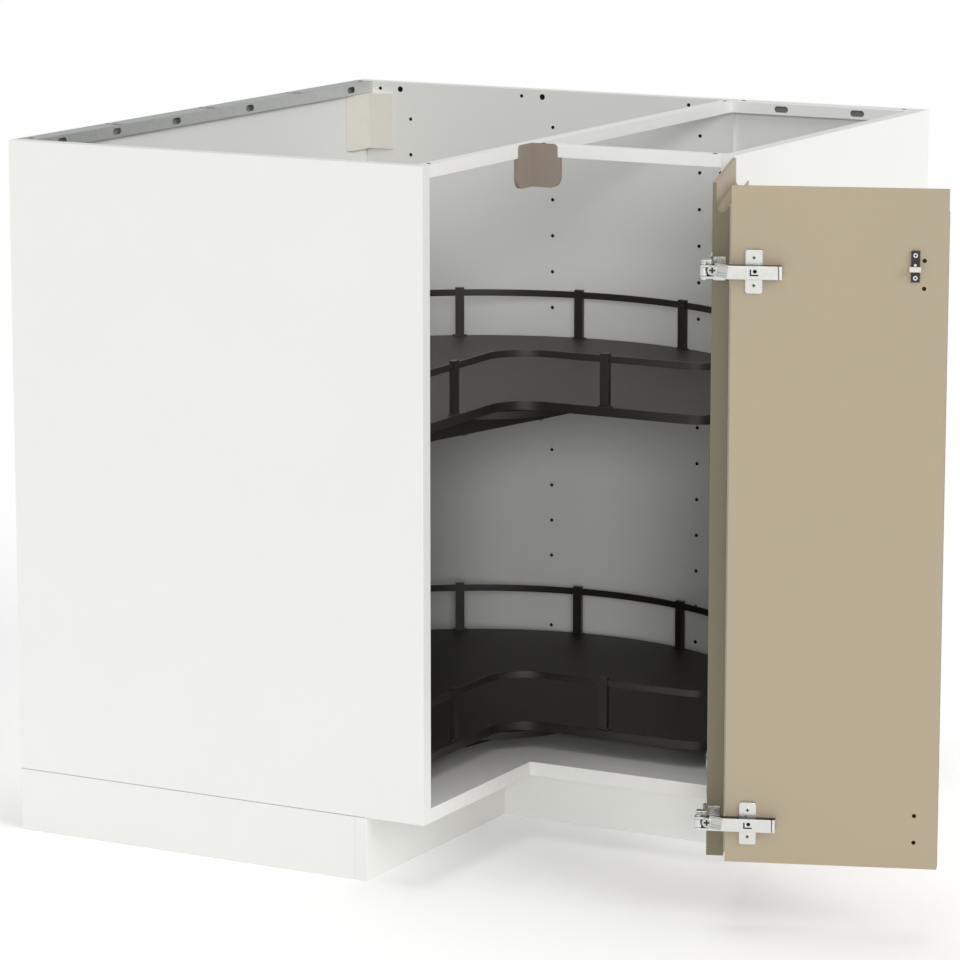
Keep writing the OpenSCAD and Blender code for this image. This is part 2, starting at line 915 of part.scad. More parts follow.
// Fixed base: plate, lower race and centre stud
module turntable_base() {
    difference() {
        union() {
            linear_extrude(base_t)
                base_outline();
            rotate_extrude()
                difference() {
                    translate([race_r - race_half, base_t - 0.01])
                        square([2 * race_half, race_top - base_t + 0.01]);
                    translate([race_r, ball_z])
                        circle(r = ball_d / 2 + ball_fit);
                }
            cylinder(r = stud_r, h = turn_h - 0.6);
        }
        for (p = bolt_points())
            translate([p[0], p[1], -eps])
                cylinder(r = bolt_r, h = base_t + 2 * eps);
    }
}

module upper_turntable_base() {
    color([0.7, 0.7, 0.7])
        on_axis(shelf_top)
            turntable_base();
}

module lower_turntable_base() {
    color([0.7, 0.7, 0.7])
        on_axis(lower_base_z)
            turntable_base();
}

module lower_turntable_spacer() {
    color([0.12, 0.12, 0.12])
        difference() {
            on_axis(floor_z)
                linear_extrude(lower_base_z - floor_z)
                    base_outline();
            base_bolt_holes(floor_z, lower_base_z - floor_z);
        }
}

// The four bolts of a base: heads below the board at z = 0, shanks up to the height l
module base_bolts(l) {
    for (p = bolt_points())
        translate([p[0], p[1], 0])
            mirror([0, 0, 1])
                pan_screw(5, 4, bolt_r, l);
}

module upper_base_bolts() {
    color([0.85, 0.85, 0.85])
        on_axis(shelf_z)
            base_bolts(shelf_t + base_t);
}

module lower_base_bolts() {
    color([0.85, 0.85, 0.85])
        on_axis(leg_h)
            base_bolts(lower_base_z - leg_h + base_t);
}

cage_h = 1.6;

module ball_cage() {
    difference() {
        translate([0, 0, ball_z - cage_h / 2])
            difference() {
                cylinder(r = race_r + race_half - 1, h = cage_h);
                translate([0, 0, -eps])
                    cylinder(r = race_r - race_half + 1, h = cage_h + 2 * eps);
            }
        for (i = [0 : ball_count - 1])
            rotate([0, 0, i * 360 / ball_count])
                translate([race_r, 0, ball_z - cage_h])
                    cylinder(r = ball_d / 2 + ball_fit, h = 2 * cage_h);
    }
}

module ball_ring() {
    for (i = [0 : ball_count - 1])
        rotate([0, 0, i * 360 / ball_count])
            translate([race_r, 0, ball_z])
                sphere(d = ball_d, $fn = 32);
}

module upper_ball_cage() {
    color([0.9, 0.9, 0.85]) on_axis(shelf_top) ball_cage();
}

module lower_ball_cage() {
    color([0.9, 0.9, 0.85]) on_axis(lower_base_z) ball_cage();
}

module upper_balls() {
    color([0.8, 0.8, 0.8]) on_axis(shelf_top) ball_ring();
}

module lower_balls() {
    color([0.8, 0.8, 0.8]) on_axis(lower_base_z) ball_ring();
}

arc_step = 3;

// Points of an arc round the centre c, from the angle a0 to the angle a1
function arc(c, r, a0, a1, step = arc_step) = let (n = ceil(abs(a1 - a0) / step)) [
    for (i = [0 : n]) c + r * [cos(a0 + (a1 - a0) * i / n), sin(a0 + (a1 - a0) * i / n)]
];

// A tray's outline, drawn in by d all round: a disc with a notch whose corners are round
function tray_points(d) =
    let (
        r = tray_r - d,
        e = notch_in - d,
        c = notch_r + d,
        lobe = lobe_r - d,
        cx = e - lobe,
        cy = -sqrt(pow(r - lobe, 2) - cx * cx),
        a = atan2(cy, cx)
    )
    concat(
        arc([cx, cy], lobe, 0, a),
        arc([0, 0], r, a, -450 - a),
        arc([-cy, -cx], lobe, -450 - a, -450),
        arc([e + c, -e - c], c, 90, 180)
    );

module tray_outline(d) {
    polygon(tray_points(d));
}

// Places each gallery post: its width runs along the rail, plus Y points outwards
module at_posts() {
    mid = strip_in + strip_t / 2;
    for (s = [-1, 1])
        for (i = [0 : posts_per_side - 1])
            rotate([0, 0, 45 + s * (i + 0.5) * post_step])
                translate([0, tray_r - mid, 0])
                    children();
    translate([notch_in - mid, -notch_post_out, 0])
        rotate([0, 0, -90])
            children();
    translate([notch_post_out, mid - notch_in, 0])
        rotate([0, 0, 180])
            children();
}

post_peg_d = 5;
post_peg_l = 7;
strip_fit = 0.15;

// One post: foot flange, shaft with the rail's slot, head and peg, on a floor at z = 0
module gallery_post() {
    difference() {
        union() {
            translate([-post_w / 2, -post_t / 2, 0])
                cube([post_w, post_t, gallery_h + post_head]);
            translate([0, 0, 0])
                linear_extrude(1.6)
                    stadium(post_w + 8, post_t + 2);
        }
        translate([-post_w, -strip_t / 2 - strip_fit, gallery_h - strip_h - strip_fit])
            cube([2 * post_w, strip_t + 2 * strip_fit, strip_h + 2 * strip_fit]);
    }
    translate([0, 0, -post_peg_l])
        cylinder(d = post_peg_d, h = post_peg_l + 0.5);
}

tray_screw_r = 2;
tray_screw_ring = 118;

module tray_board() {
    difference() {
        translate([0, 0, -tray_t])
            linear_extrude(tray_t)
                tray_outline(edging_t);
        at_posts()
            translate([0, 0, -post_peg_l - strip_fit])
                cylinder(d = post_peg_d + 2 * strip_fit, h = post_peg_l + 1);
        for (a = [0 : 90 : 270])
            rotate([0, 0, a])
                translate([tray_screw_ring, 0, -tray_t - eps])
                    cylinder(r = tray_screw_r, h = tray_t - 2);
    }
}

module tray_edging() {
    translate([0, 0, -tray_t])
        linear_extrude(tray_t)
            difference() {
                tray_outline(0);
                tray_outline(edging_t);
            }
}

module gallery_rail() {
    translate([0, 0, gallery_h - strip_h])
        linear_extrude(strip_h)
            difference() {
                tray_outline(strip_in);
                tray_outline(strip_in + strip_t);
            }
}

skirt_t = 2.5;
hub_r = 14;

// The turning disc with its skirt, hub, upper race and ribs; z = 0 is the tray board's underside
module turntable_disc() {
    race_low = ball_z + 1.4 - turn_h;
    difference() {
        union() {
            translate([0, 0, -disc_h])
                difference() {
                    cylinder(r = disc_r, h = disc_h, $fn = 128);
                    translate([0, 0, -eps])
                        cylinder(r = disc_r - skirt_t, h = disc_h - disc_top + eps, $fn = 128);
                }
            rotate_extrude()
                difference() {
                    translate([race_r - race_half, race_low])
                        square([2 * race_half, -disc_top - race_low + 0.01]);
                    translate([race_r, ball_z - turn_h])
                        circle(r = ball_d / 2 + ball_fit);
                }
            translate([0, 0, -disc_h + 1])
                cylinder(r = hub_r, h = disc_h - 1);
            for (a = [15 : 30 : 345])
                rotate([0, 0, a])
                    translate([race_r + race_half - 0.5, -1, -disc_top - 3])
                        cube([disc_r - skirt_t - race_r - race_half + 1, 2, 3.5]);
        }
        translate([0, 0, -disc_h - eps])
            cylinder(r = stud_r + stud_fit, h = disc_h + 2 * eps);
        for (a = [0 : 90 : 270])
            rotate([0, 0, a])
                translate([tray_screw_ring, 0, -disc_top - eps])
                    cylinder(r = tray_screw_r, h = disc_top + 2 * eps);
    }
}

module tray_screws() {
    for (a = [0 : 90 : 270])
        rotate([0, 0, a])
            translate([tray_screw_ring, 0, -disc_top])
                mirror([0, 0, 1])
                    pan_screw(4, 2, tray_screw_r, disc_top + tray_t - 3);
}

// Draws a tray's pieces with their floor at the height z
module on_tray(z) {
    translate([turn_axis[0], turn_axis[1], z])
        children();
}

module upper_tray_board() {
    color([0.24, 0.22, 0.21]) on_tray(upper_floor_z) tray_board();
}

module upper_tray_edging() {
    color([0.26, 0.24, 0.23]) on_tray(upper_floor_z) tray_edging();
}

module upper_gallery_rail() {
    color([0.22, 0.21, 0.2]) on_tray(upper_floor_z) gallery_rail();
}

module upper_gallery_posts() {
    color([0.22, 0.21, 0.2]) on_tray(upper_floor_z) at_posts() gallery_post();
}

module upper_turntable_disc() {
    color([0.08, 0.08, 0.08]) on_tray(upper_floor_z - tray_t) turntable_disc();
}

module upper_tray_screws() {
    color([0.8, 0.8, 0.8]) on_tray(upper_floor_z - tray_t) tray_screws();
}

module lower_tray_board() {
    color([0.24, 0.22, 0.21]) on_tray(lower_floor_z) tray_board();
}

module lower_tray_edging() {
    color([0.26, 0.24, 0.23]) on_tray(lower_floor_z) tray_edging();
}

module lower_gallery_rail() {
    color([0.22, 0.21, 0.2]) on_tray(lower_floor_z) gallery_rail();
}

module lower_gallery_posts() {
    color([0.22, 0.21, 0.2]) on_tray(lower_floor_z) at_posts() gallery_post();
}

module lower_turntable_disc() {
    color([0.08, 0.08, 0.08]) on_tray(lower_floor_z - tray_t) turntable_disc();
}

module lower_tray_screws() {
    color([0.8, 0.8, 0.8]) on_tray(lower_floor_z - tray_t) tray_screws();
}

// Draws hinge pieces on the end panel's inner face: X towards the front from the panel's front
// edge, Y out of the face, Z up from the hinge's centre
module on_end_panel() {
    for (z = hinge_z)
        translate([end_in, -depth, z])
            mirror([0, 1, 0])
                rotate([0, 0, 90])
                    children();
}

// The same on the shut folding leaf's inner face, from the leaf's fold end
module on_folding_leaf() {
    for (z = hinge_z)
        translate([depth + door_gap, -leaf_start, z])
            rotate([0, 0, 90])
                children();
}

// A rectangle with round corners, centred
module round_plate(w, h, r) {
    polygon([
        for (k = [0 : 3])
            let (sx = k == 0 || k == 3 ? 1 : -1, sy = k < 2 ? 1 : -1)
                each arc([sx * (w / 2 - r), sy * (h / 2 - r)], r, 90 * k, 90 * k + 90, 15)
    ]);
}

// A cross-shaped plate on the face y = 0, its centre at x = at
module hinge_plate(at) {
    rotate([90, 0, 0])
        translate([at, 0, -plate_t])
            linear_extrude(plate_t)
                difference() {
                    union() {
                        round_plate(plate_w, plate_h, plate_r);
                        square([plate_w + 14, arm_h - 4], center = true);
                    }
                    for (s = [-1, 1])
                        translate([0, s * screw_span / 2])
                            circle(d = hole_d);
                }
}

ear_t = arm_h / 2 - barrel_h / 2 - ear_gap;
arm_groove = 1;
arm_screw_at = [-2, 1.6];
arm_screw_fit = 0.3;

// Cuts the window and the adjusting screw's hole out of an arm over the plate at x = at
module arm_window(at) {
    rear = at + arm_screw_at[0] - window_l / 2 + 1;
    low = -window_h / 2;
    translate([rear, arm_proud - 2 * arm_sheet, low])
        cube([window_l, 3 * arm_sheet, window_leg]);
    translate([rear + window_l - window_leg, arm_proud - 2 * arm_sheet, low])
        cube([window_leg, 3 * arm_sheet, window_h]);
    translate([at + arm_screw_at[0], arm_proud - 2 * arm_sheet, arm_screw_at[1]])
        rotate([-90, 0, 0])
            cylinder(d = arm_screw_d + 2 * arm_screw_fit, h = 3 * arm_sheet);
}

// Cuts the groove between an arm with its rear end at x = back and the cap on that end
module cap_groove(back) {
    x = back + arm_cap_l;
    translate([x, arm_proud - arm_groove, -arm_h])
        cube([arm_groove, 2 * arm_groove, 2 * arm_h]);
    for (s = [-1, 1])
        translate([x, plate_t + arm_sheet, s * arm_h / 2 - arm_groove])
            cube([arm_groove, arm_proud, 2 * arm_groove]);
}

// An arm over the plate at x = at, its ears round the pivot p with the radius r
module hinge_arm(at, front, p, r) {
    back = at - arm_back;
    difference() {
        translate([back, plate_t, -arm_h / 2])
            cube([front - back, arm_proud - plate_t, arm_h]);
        translate([back + 6, plate_t - eps, arm_sheet - arm_h / 2])
            cube([front - back - 5, arm_proud - plate_t - arm_sheet + eps, arm_h - 2 * arm_sheet]);
        arm_window(at);
        cap_groove(back);
    }
    for (s = [-1, 1])
        translate([0, 0, s * (barrel_h / 2 + ear_gap + ear_t / 2) - ear_t / 2])
            linear_extrude(ear_t)
                difference() {
                    union() {
                        polygon([
                            [front - 6, plate_t],
                            [front - 6, arm_proud],
                            [front, arm_proud],
                            [p[0], p[1] + r],
                            [p[0], p[1] - r],
                            [front, min(plate_t, p[1] - r + 2)]
                        ]);
                        translate(p)
                            circle(r = r);
                    }
                    translate(p)
                        circle(r = pin_r + pin_fit);
                }
}

// The adjusting screw in an arm over the plate at x = at
module arm_screw(at) {
    translate([at + arm_screw_at[0], plate_t, arm_screw_at[1]])
        rotate([-90, 0, 0])
            cylinder(d = arm_screw_d, h = arm_proud - plate_t - arm_groove);
}

// The two screws of a plate at x = at
module plate_screws(at) {
    for (s = [-1, 1])
        translate([at, plate_t, s * screw_span / 2])
            rotate([-90, 0, 0])
                pan_screw(4, 1.8, hole_d / 2 - pin_fit, plate_t + hole_deep - 2);
}

// A pin with two heads through the ears at the pivot p
module hinge_pin(p) {
    translate([p[0], p[1], 0]) {
        cylinder(r = pin_r, h = arm_h, center = true);
        for (s = [0, 1])
            mirror([0, 0, s])
                translate([0, 0, arm_h / 2])
                    cylinder(r = pin_r + 1.6, h = 1.6);
    }
}

cabinet_at = -cabinet_plate_in;
cabinet_pivot = [-(link_pivot[1] + depth), end_in - link_pivot[0]];
cabinet_ear_r = 4.6;
fold_at = -fold_plate_in;
fold_pivot = [leaf_start - depth + fold_pin_in, door_gap + fold_pin_in];

module cabinet_hinge_plates() {
    color([0.8, 0.8, 0.8]) on_end_panel() hinge_plate(cabinet_at);
}

module cabinet_hinge_arms() {
    color([0.85, 0.85, 0.85]) on_end_panel() {
        hinge_arm(cabinet_at, cabinet_pivot[0] - 7, cabinet_pivot, cabinet_ear_r);
        arm_screw(cabinet_at);
    }
}

module cabinet_hinge_pins() {
    color([0.7, 0.7, 0.7]) on_end_panel() hinge_pin(cabinet_pivot);
}

module cabinet_hinge_screws() {
    color([0.75, 0.75, 0.75]) on_end_panel() plate_screws(cabinet_at);
}

// A straight bar with the width 2 r between the points a and b
module bar(a, b, r) {
    d = b - a;
    translate(a)
        rotate([0, 0, atan2(d[1], d[0])])
            translate([0, -r])
                square([norm(d), 2 * r]);
}

// The cranked link from the arm's pivot round the panel's front corner into the open leaf's cup
module cabinet_hinge_links() {
    elbow = [end_in, -depth] + link_elbow;
    tip = swing + link_tip;
    color([0.78, 0.78, 0.78])
        for (z = hinge_z)
            translate([0, 0, z - barrel_h / 2])
                linear_extrude(barrel_h)
                    difference() {
                        union() {
                            translate(link_pivot)
                                circle(r = cabinet_ear_r);
                            bar(link_pivot, elbow, link_r);
                            translate(elbow)
                                circle(r = link_r);
                            bar(elbow, tip, link_r);
                            translate(tip)
                                circle(r = link_end_r);
                        }
                        translate(link_pivot)
                            circle(r = pin_r + pin_fit);
                    }
}

strike_gap = 0.6;
strike_t = 3;
strike_l = 34;
strike_h = 28;
tongue_t = 5;
tongue_h = 14;
strike_up = catch_z - 2.5;

module catch_strike() {
    x1 = depth + door_gap - roller_proud - strike_gap;
    color([0.75, 0.75, 0.75]) {
        translate([x1 - strike_l, left_in, strike_up - strike_h / 2])
            cube([strike_l, strike_t, strike_h]);
        translate([x1 - tongue_t, left_in, strike_up - tongue_h / 2])
            cube([tongue_t, catch_in - panel_t - boss_w / 2, tongue_h]);
    }
}

// A leaf's section: inner face at x = 0, grip valley and inner lip along the top
module leaf_section() {
    difference() {
        square([leaf_t, leaf_h]);
        translate([lip_t, leaf_h - valley_deep])
            square([leaf_t, valley_deep + 1]);
        translate([lip_t + valley_r, leaf_h - valley_deep])
            circle(r = valley_r, $fn = 48);
    }
}

// A leaf along X with its inner face at y = 0 and its thickness towards plus Y
module leaf() {
    rotate([90, 0, 90])
        linear_extrude(leaf_w)
            leaf_section();
}

module hinged_leaf_shut() {
    difference() {
        translate([leaf_start, -depth - door_gap, leaf_z])
            mirror([0, 1, 0])
                leaf();
        for (z = hinge_z)
            for (x = [leaf_start + cup_in, leaf_start + leaf_w - cup_in]) {
                translate([x, -depth - door_gap + eps, z])
                    rotate([90, 0, 0])
                        cylinder(r = cup_r, h = cup_deep + eps);
                for (s = [-1, 1])
                    translate([x, -depth - door_gap + eps, z + s * cup_screw_span / 2])
                        rotate([90, 0, 0])
                            cylinder(d = 3, h = 10 + eps);
            }
    }
}

cup_flange_t = 1.2;
cup_screw_span = 45;
cup_wall = 1.5;
cheek_t = 2;

// The two cheeks in a cabinet hinge's cup, above and below the link's end
module cup_cheeks() {
    for (s = [-1, 1])
        translate([-6, 1.5 - cup_deep, s * (barrel_h / 2 + ear_gap + cheek_t / 2) - cheek_t / 2])
            cube([17, cup_deep - 1.5 - 0.5, cheek_t]);
}

// A cup with its flange on the face y = 0, its pot towards minus Y
module hinge_cup() {
    rotate([90, 0, 0])
        difference() {
            union() {
                translate([0, 0, -cup_flange_t])
                    linear_extrude(cup_flange_t)
                        union() {
                            circle(r = cup_r + 1.5);
                            rotate([0, 0, 90])
                                stadium(cup_screw_span + 12, 12);
                        }
                cylinder(r = cup_r - 0.05, h = cup_deep - 0.2);
            }
            translate([0, 0, -cup_flange_t - eps])
                cylinder(r = cup_r - cup_wall, h = cup_deep - cup_wall + cup_flange_t);
            for (s = [-1, 1])
                translate([0, s * cup_screw_span / 2, -cup_flange_t - eps])
                    cylinder(d = 3, h = cup_flange_t + 2 * eps);
        }
}

// The strap and barrel of a fold hinge, from the pin over the leaf's end to the cup
module fold_strap() {
    x = leaf_start + cup_in - depth + fold_pin_in;
    y = -fold_pin_in - door_gap;
    difference() {
        union() {
            cylinder(r = barrel_r, h = barrel_h, center = true);
            translate([0, y + 0.6 + cup_flange_t, -barrel_h / 2])
                cube([x - cup_r + 3, 2.4, barrel_h]);
            translate([x - cup_r - 6, y + cup_flange_t, -13])
                cube([10, 3, 26]);
        }
        cylinder(r = pin_r + pin_fit, h = barrel_h + 2, center = true);
    }
}

module hinge_cups() {
    color([0.82, 0.82, 0.82])
        opened()
            for (z = hinge_z) {
                for (x = [leaf_start + cup_in, leaf_start + leaf_w - cup_in])
                    translate([x, -depth - door_gap, z])
                        hinge_cup();
                translate([leaf_start + leaf_w - cup_in, -depth - door_gap, z])
                    cup_cheeks();
                translate([fold[0], fold[1], z])
                    fold_strap();
            }
}

module cup_screws() {
    color([0.75, 0.75, 0.75])
        opened()
            for (z = hinge_z)
                for (x = [leaf_start + cup_in, leaf_start + leaf_w - cup_in])
                    for (s = [-1, 1])
                        translate([x, -depth - door_gap + cup_flange_t, z + s * cup_screw_span / 2])
                            rotate([-90, 0, 0])
                                pan_screw(3, 1.4, 1.5, 10);
}

module hinged_door_leaf() {
    color([0.74, 0.68, 0.58])
        opened() hinged_leaf_shut();
}

spare_in = 27;

module folding_leaf_shut() {
    x = depth + door_gap;
    difference() {
        translate([x, -leaf_start, leaf_z])
            rotate([0, 0, -90])
                leaf();
        for (z = hinge_z)
            for (s = [-1, 1]) {
                drill_x([x, -leaf_start - fold_plate_in, z + s * screw_span / 2], hole_d, hole_deep);
                drill_x([x, leaf_end - run + spare_in, z + s * screw_span / 2], hole_d, hole_deep);
            }
        for (s = [-1, 1])
            drill_x([x, leaf_end - run + catch_in, catch_z + s * 13], 3, 10);
    }
}

module folding_door_leaf() {
    color([0.74, 0.68, 0.58])
        opened() folding_leaf_shut();
}

module fold_hinge_plates() {
    color([0.85, 0.85, 0.85])
        opened() on_folding_leaf() hinge_plate(fold_at);
}

module fold_hinge_arms() {
    color([0.87, 0.87, 0.87])
        opened() on_folding_leaf() {
            hinge_arm(fold_at, 5, fold_pivot, barrel_r);
            arm_screw(fold_at);
        }
}

module fold_hinge_pins() {
    color([0.7, 0.7, 0.7])
        opened() on_folding_leaf() hinge_pin(fold_pivot);
}

module fold_hinge_screws() {
    color([0.75, 0.75, 0.75])
        opened() on_folding_leaf() plate_screws(fold_at);
}

catch_plate_t = 3;
boss_w = 3;

// Draws catch pieces on the shut folding leaf's inner face: X along the leaf, Y out of the face
module on_catch() {
    translate([depth + door_gap, leaf_end - run + catch_in, catch_z])
        rotate([0, 0, 90])
            children();
}

module catch_plate() {
    y = roller_proud - roller_d / 2;
    color([0.2, 0.2, 0.2])
        opened() on_catch()
            difference() {
                union() {
                    translate([-catch_w / 2, 0, -catch_h / 2])
                        cube([catch_w, catch_plate_t, catch_h]);
                    translate([-boss_w / 2, 0, -5 - roller_d / 2])
                        cube([boss_w, y, 4.4 + roller_d]);
                    translate([-boss_w / 2, y, -2.5])
                        rotate([0, 90, 0])
                            cylinder(r = 2.6, h = boss_w);
                }
                translate([-catch_w, y, -2.5])
                    rotate([0, 90, 0])
                        cylinder(r = waist_r + pin_fit, h = 2 * catch_w);
                for (s = [-1, 1])
                    translate([0, -1, s * 13])
                        rotate([-90, 0, 0])
                            cylinder(d = 3, h = catch_plate_t + 2);
            }
}

module catch_roller() {
    y = roller_proud - roller_d / 2;
    waist = boss_w + 0.6;
    side = (roller_l - waist) / 2;
    color([0.93, 0.93, 0.92])
        opened() on_catch()
            translate([0, y, -2.5])
                rotate([0, 90, 0]) {
                    cylinder(r = waist_r, h = waist + 1, center = true);
                    for (s = [0, 1])
                        mirror([0, 0, s])
                            translate([0, 0, waist / 2])
                                cylinder(d = roller_d, h = side);
                }
}

module catch_screws() {
    color([0.7, 0.7, 0.7])
        opened() on_catch()
            for (s = [-1, 1])
                translate([0, catch_plate_t, s * 13])
                    rotate([-90, 0, 0])
                        pan_screw(3, 1.6, 1.5, catch_plate_t + 9);
}

placed() left_side_panel();
placed() inner_side_panel();
placed() end_side_panel();
placed() bottom_panel();
placed() long_back_panel();
placed() short_back_panel();
placed() panel_dowels();
placed() suspension_rail();
placed() rear_short_rail();
placed() long_front_rail();
placed() short_front_rail();
placed() rail_connectors();
placed() rear_corner_bracket();
placed() door_corner_stop();
placed() leg_sockets();
placed() levelling_feet();
placed() side_plinth();
placed() front_plinth_long();
placed() front_plinth_short();
placed() plinth_clips();
placed() support_shelf();
placed() support_shelf_brackets();
placed() upper_turntable_base();
placed() lower_turntable_base();
placed() lower_turntable_spacer();
placed() upper_base_bolts();
placed() lower_base_bolts();
placed() upper_ball_cage();
placed() upper_balls();
placed() lower_ball_cage();
placed() lower_balls();
placed() upper_tray_board();
placed() upper_tray_edging();
placed() upper_gallery_rail();
placed() upper_gallery_posts();
placed() upper_turntable_disc();
placed() upper_tray_screws();
placed() lower_tray_board();
placed() lower_tray_edging();
placed() lower_gallery_rail();
placed() lower_gallery_posts();
placed() lower_turntable_disc();
placed() lower_tray_screws();
placed() cabinet_hinge_plates();
placed() cabinet_hinge_arms();
placed() cabinet_hinge_pins();
placed() cabinet_hinge_screws();
placed() cabinet_hinge_links();
placed() catch_strike();
placed() hinged_door_leaf();
placed() hinge_cups();
placed() cup_screws();
placed() folding_door_leaf();
placed() fold_hinge_plates();
placed() fold_hinge_arms();
placed() fold_hinge_pins();
placed() fold_hinge_screws();
placed() catch_plate();
placed() catch_roller();
placed() catch_screws();
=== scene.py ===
"""Corner base cabinet, open at the top, with two turning trays and a folding pair of doors."""

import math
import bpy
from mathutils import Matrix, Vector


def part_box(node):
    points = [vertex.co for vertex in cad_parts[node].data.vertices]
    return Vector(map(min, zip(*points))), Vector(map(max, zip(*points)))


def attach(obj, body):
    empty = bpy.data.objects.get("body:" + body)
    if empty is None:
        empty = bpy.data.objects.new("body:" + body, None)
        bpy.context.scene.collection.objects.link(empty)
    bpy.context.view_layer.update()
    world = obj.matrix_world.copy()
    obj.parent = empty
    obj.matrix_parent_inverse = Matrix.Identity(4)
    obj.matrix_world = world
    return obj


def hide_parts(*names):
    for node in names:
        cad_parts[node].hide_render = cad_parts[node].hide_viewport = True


bl_info = {
    "name": "Corner Base Cabinet",
    "version": (1, 0, 0),
    "blender": (4, 5, 0),
    "location": "3D Viewport > Sidebar > Corner Cabinet",
    "description": "Dresses a corner base cabinet with turning trays and folding doors",
    "category": "Object",
}

import bmesh
import bpy
from mathutils import Matrix, Vector

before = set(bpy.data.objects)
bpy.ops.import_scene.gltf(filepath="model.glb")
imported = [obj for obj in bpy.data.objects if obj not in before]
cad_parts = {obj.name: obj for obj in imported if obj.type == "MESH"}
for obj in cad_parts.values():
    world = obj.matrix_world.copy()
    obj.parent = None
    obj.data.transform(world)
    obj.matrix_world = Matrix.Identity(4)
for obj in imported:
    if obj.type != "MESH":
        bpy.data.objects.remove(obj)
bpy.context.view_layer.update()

MM = 0.001
# The rear corner foot's centre, from the two wall planes
FOOT = Vector((84, -70, 0)) * MM
# Where the shut doors turn, and by how much they stand open
SWING = Vector((873, -602, 0)) * MM - FOOT
OPEN_ANGLE = math.radians(110)
# The shut folding leaf, in millimetres from the wall planes: its inner face, its edge at the fold
# and the middle of its catch
LEAF_X = 602
FOLD_Y = -626
CATCH_Y, CATCH_Z = -836, 789
# Middles of the lower and the upper hinge, and how far a fold hinge's arm stands off its leaf
HINGE_Z = (129.5, 779.5)
ARM_TOP = 12.9
# The two trays
LEVELS = ("lower", "upper")
# How much of a rail's end its connector fills
RAIL_END = 24
# Material slots: of a board, of a fold hinge's piece, and of a screw's cross recess
# A door leaf's third slot is its upright ends, a darker film as painted shade
FACED, RAW, PAINTED_SHADE_ENDS = 0, 1, 2
# A fold hinge's second slot darkens its sides as painted shade and reflection; its third is black
# painted shadow
PLATED, SHADED, PAINTED_SHADOW = 0, 1, 2
# A screw's cross recess is dark as painted shade
RECESS = 1
# Faces that meet at less than the first angle lie in one plane, and a mesh's corners that stand
# closer than the distance are one corner
FLAT = math.radians(0.6)
WELD = 0.002 * MM
# The camera: lens in millimetres, place in metres, and its tilt and turn in degrees
LENS = 164.28
CAMERA_PLACE = (3.01504, -5.27009, 1.48458)
CAMERA_DOWN, CAMERA_TURN = 10.832, 28.477

# Quarter turns that lay a piece's X along +Y, its Z along +Y and its Z along +X
X_TO_Y = Matrix.Rotation(math.radians(90), 4, "Z")
Z_TO_Y = Matrix.Rotation(math.radians(-90), 4, "X")
Z_TO_X = Matrix.Rotation(math.radians(90), 4, "Y")


def linear(hex_colour):
    """Turns an sRGB hex value to linear red, green and blue."""
    values = [int(hex_colour[i : i + 2], 16) / 255 for i in (1, 3, 5)]
    return tuple(v / 12.92 if v <= 0.04045 else ((v + 0.055) / 1.055) ** 2.4 for v in values)


def wall_point(x, y, z):
    """A point given in millimetres from the two wall planes and the floor."""
    return Vector((x, y, z)) * MM - FOOT


def at(x, y, z):
    """A move in millimetres."""
    return Matrix.Translation(Vector((x, y, z)) * MM)


def opened():
    """Turns what stands where the shut doors are to where the open doors stand."""
    turn = Matrix.Rotation(OPEN_ANGLE, 4, "Z")
    return Matrix.Translation(SWING) @ turn @ Matrix.Translation(-SWING)


def leaf_place(y, z):
    """A place on the open folding leaf: X towards the fold, Y out of the inner face, Z up."""
    return opened() @ Matrix.Translation(wall_point(LEAF_X, y, z)) @ X_TO_Y


def hinge_place(z):
    """A fold hinge's place on the open folding leaf."""
    return leaf_place(FOLD_Y, z)


def catch_place():
    """The catch's place on the open folding leaf."""
    return leaf_place(CATCH_Y, CATCH_Z)


def box_in_mm(node):
    """The two corners of a solid's box, in millimetres."""
    return tuple(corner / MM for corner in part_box(node))


# Materials


def add_node(tree, kind, settings=None, links=None):
    """Adds one node with its settings and its links from other nodes' sockets."""
    node = tree.nodes.new(kind)
    for key, value in (settings or {}).items():
        if isinstance(key, int) or key in node.inputs:
            node.inputs[key].default_value = value
        else:
            setattr(node, key, value)
    for key, source in (links or {}).items():
        tree.links.new(source, node.inputs[key])
    return node


def empty_material(name):
    """A material, its empty tree, and the socket of its Object coordinates in millimetres."""
    material = bpy.data.materials.new(name)
    material.use_nodes = True
    tree = material.node_tree
    tree.nodes.clear()
    coords = add_node(tree, "ShaderNodeTexCoord")
    scale = {"Scale": (1000, 1000, 1000)}
    place = add_node(tree, "ShaderNodeMapping", scale, {"Vector": coords.outputs["Object"]})
    return material, tree, place.outputs["Vector"]


def tints(colour, by):
    """Settings that mix a colour with the same colour darker by a share."""
    dark = (v * (1 - by) for v in colour)
    return {"data_type": "RGBA", 6: (*colour, 1), 7: (*dark, 1)}


def spread(rough, down, up):
    """Settings that spread the middle of a noise over a range of roughness."""
    return {"From Min": 0.3, "From Max": 0.7, "To Min": rough - down, "To Max": rough + up}


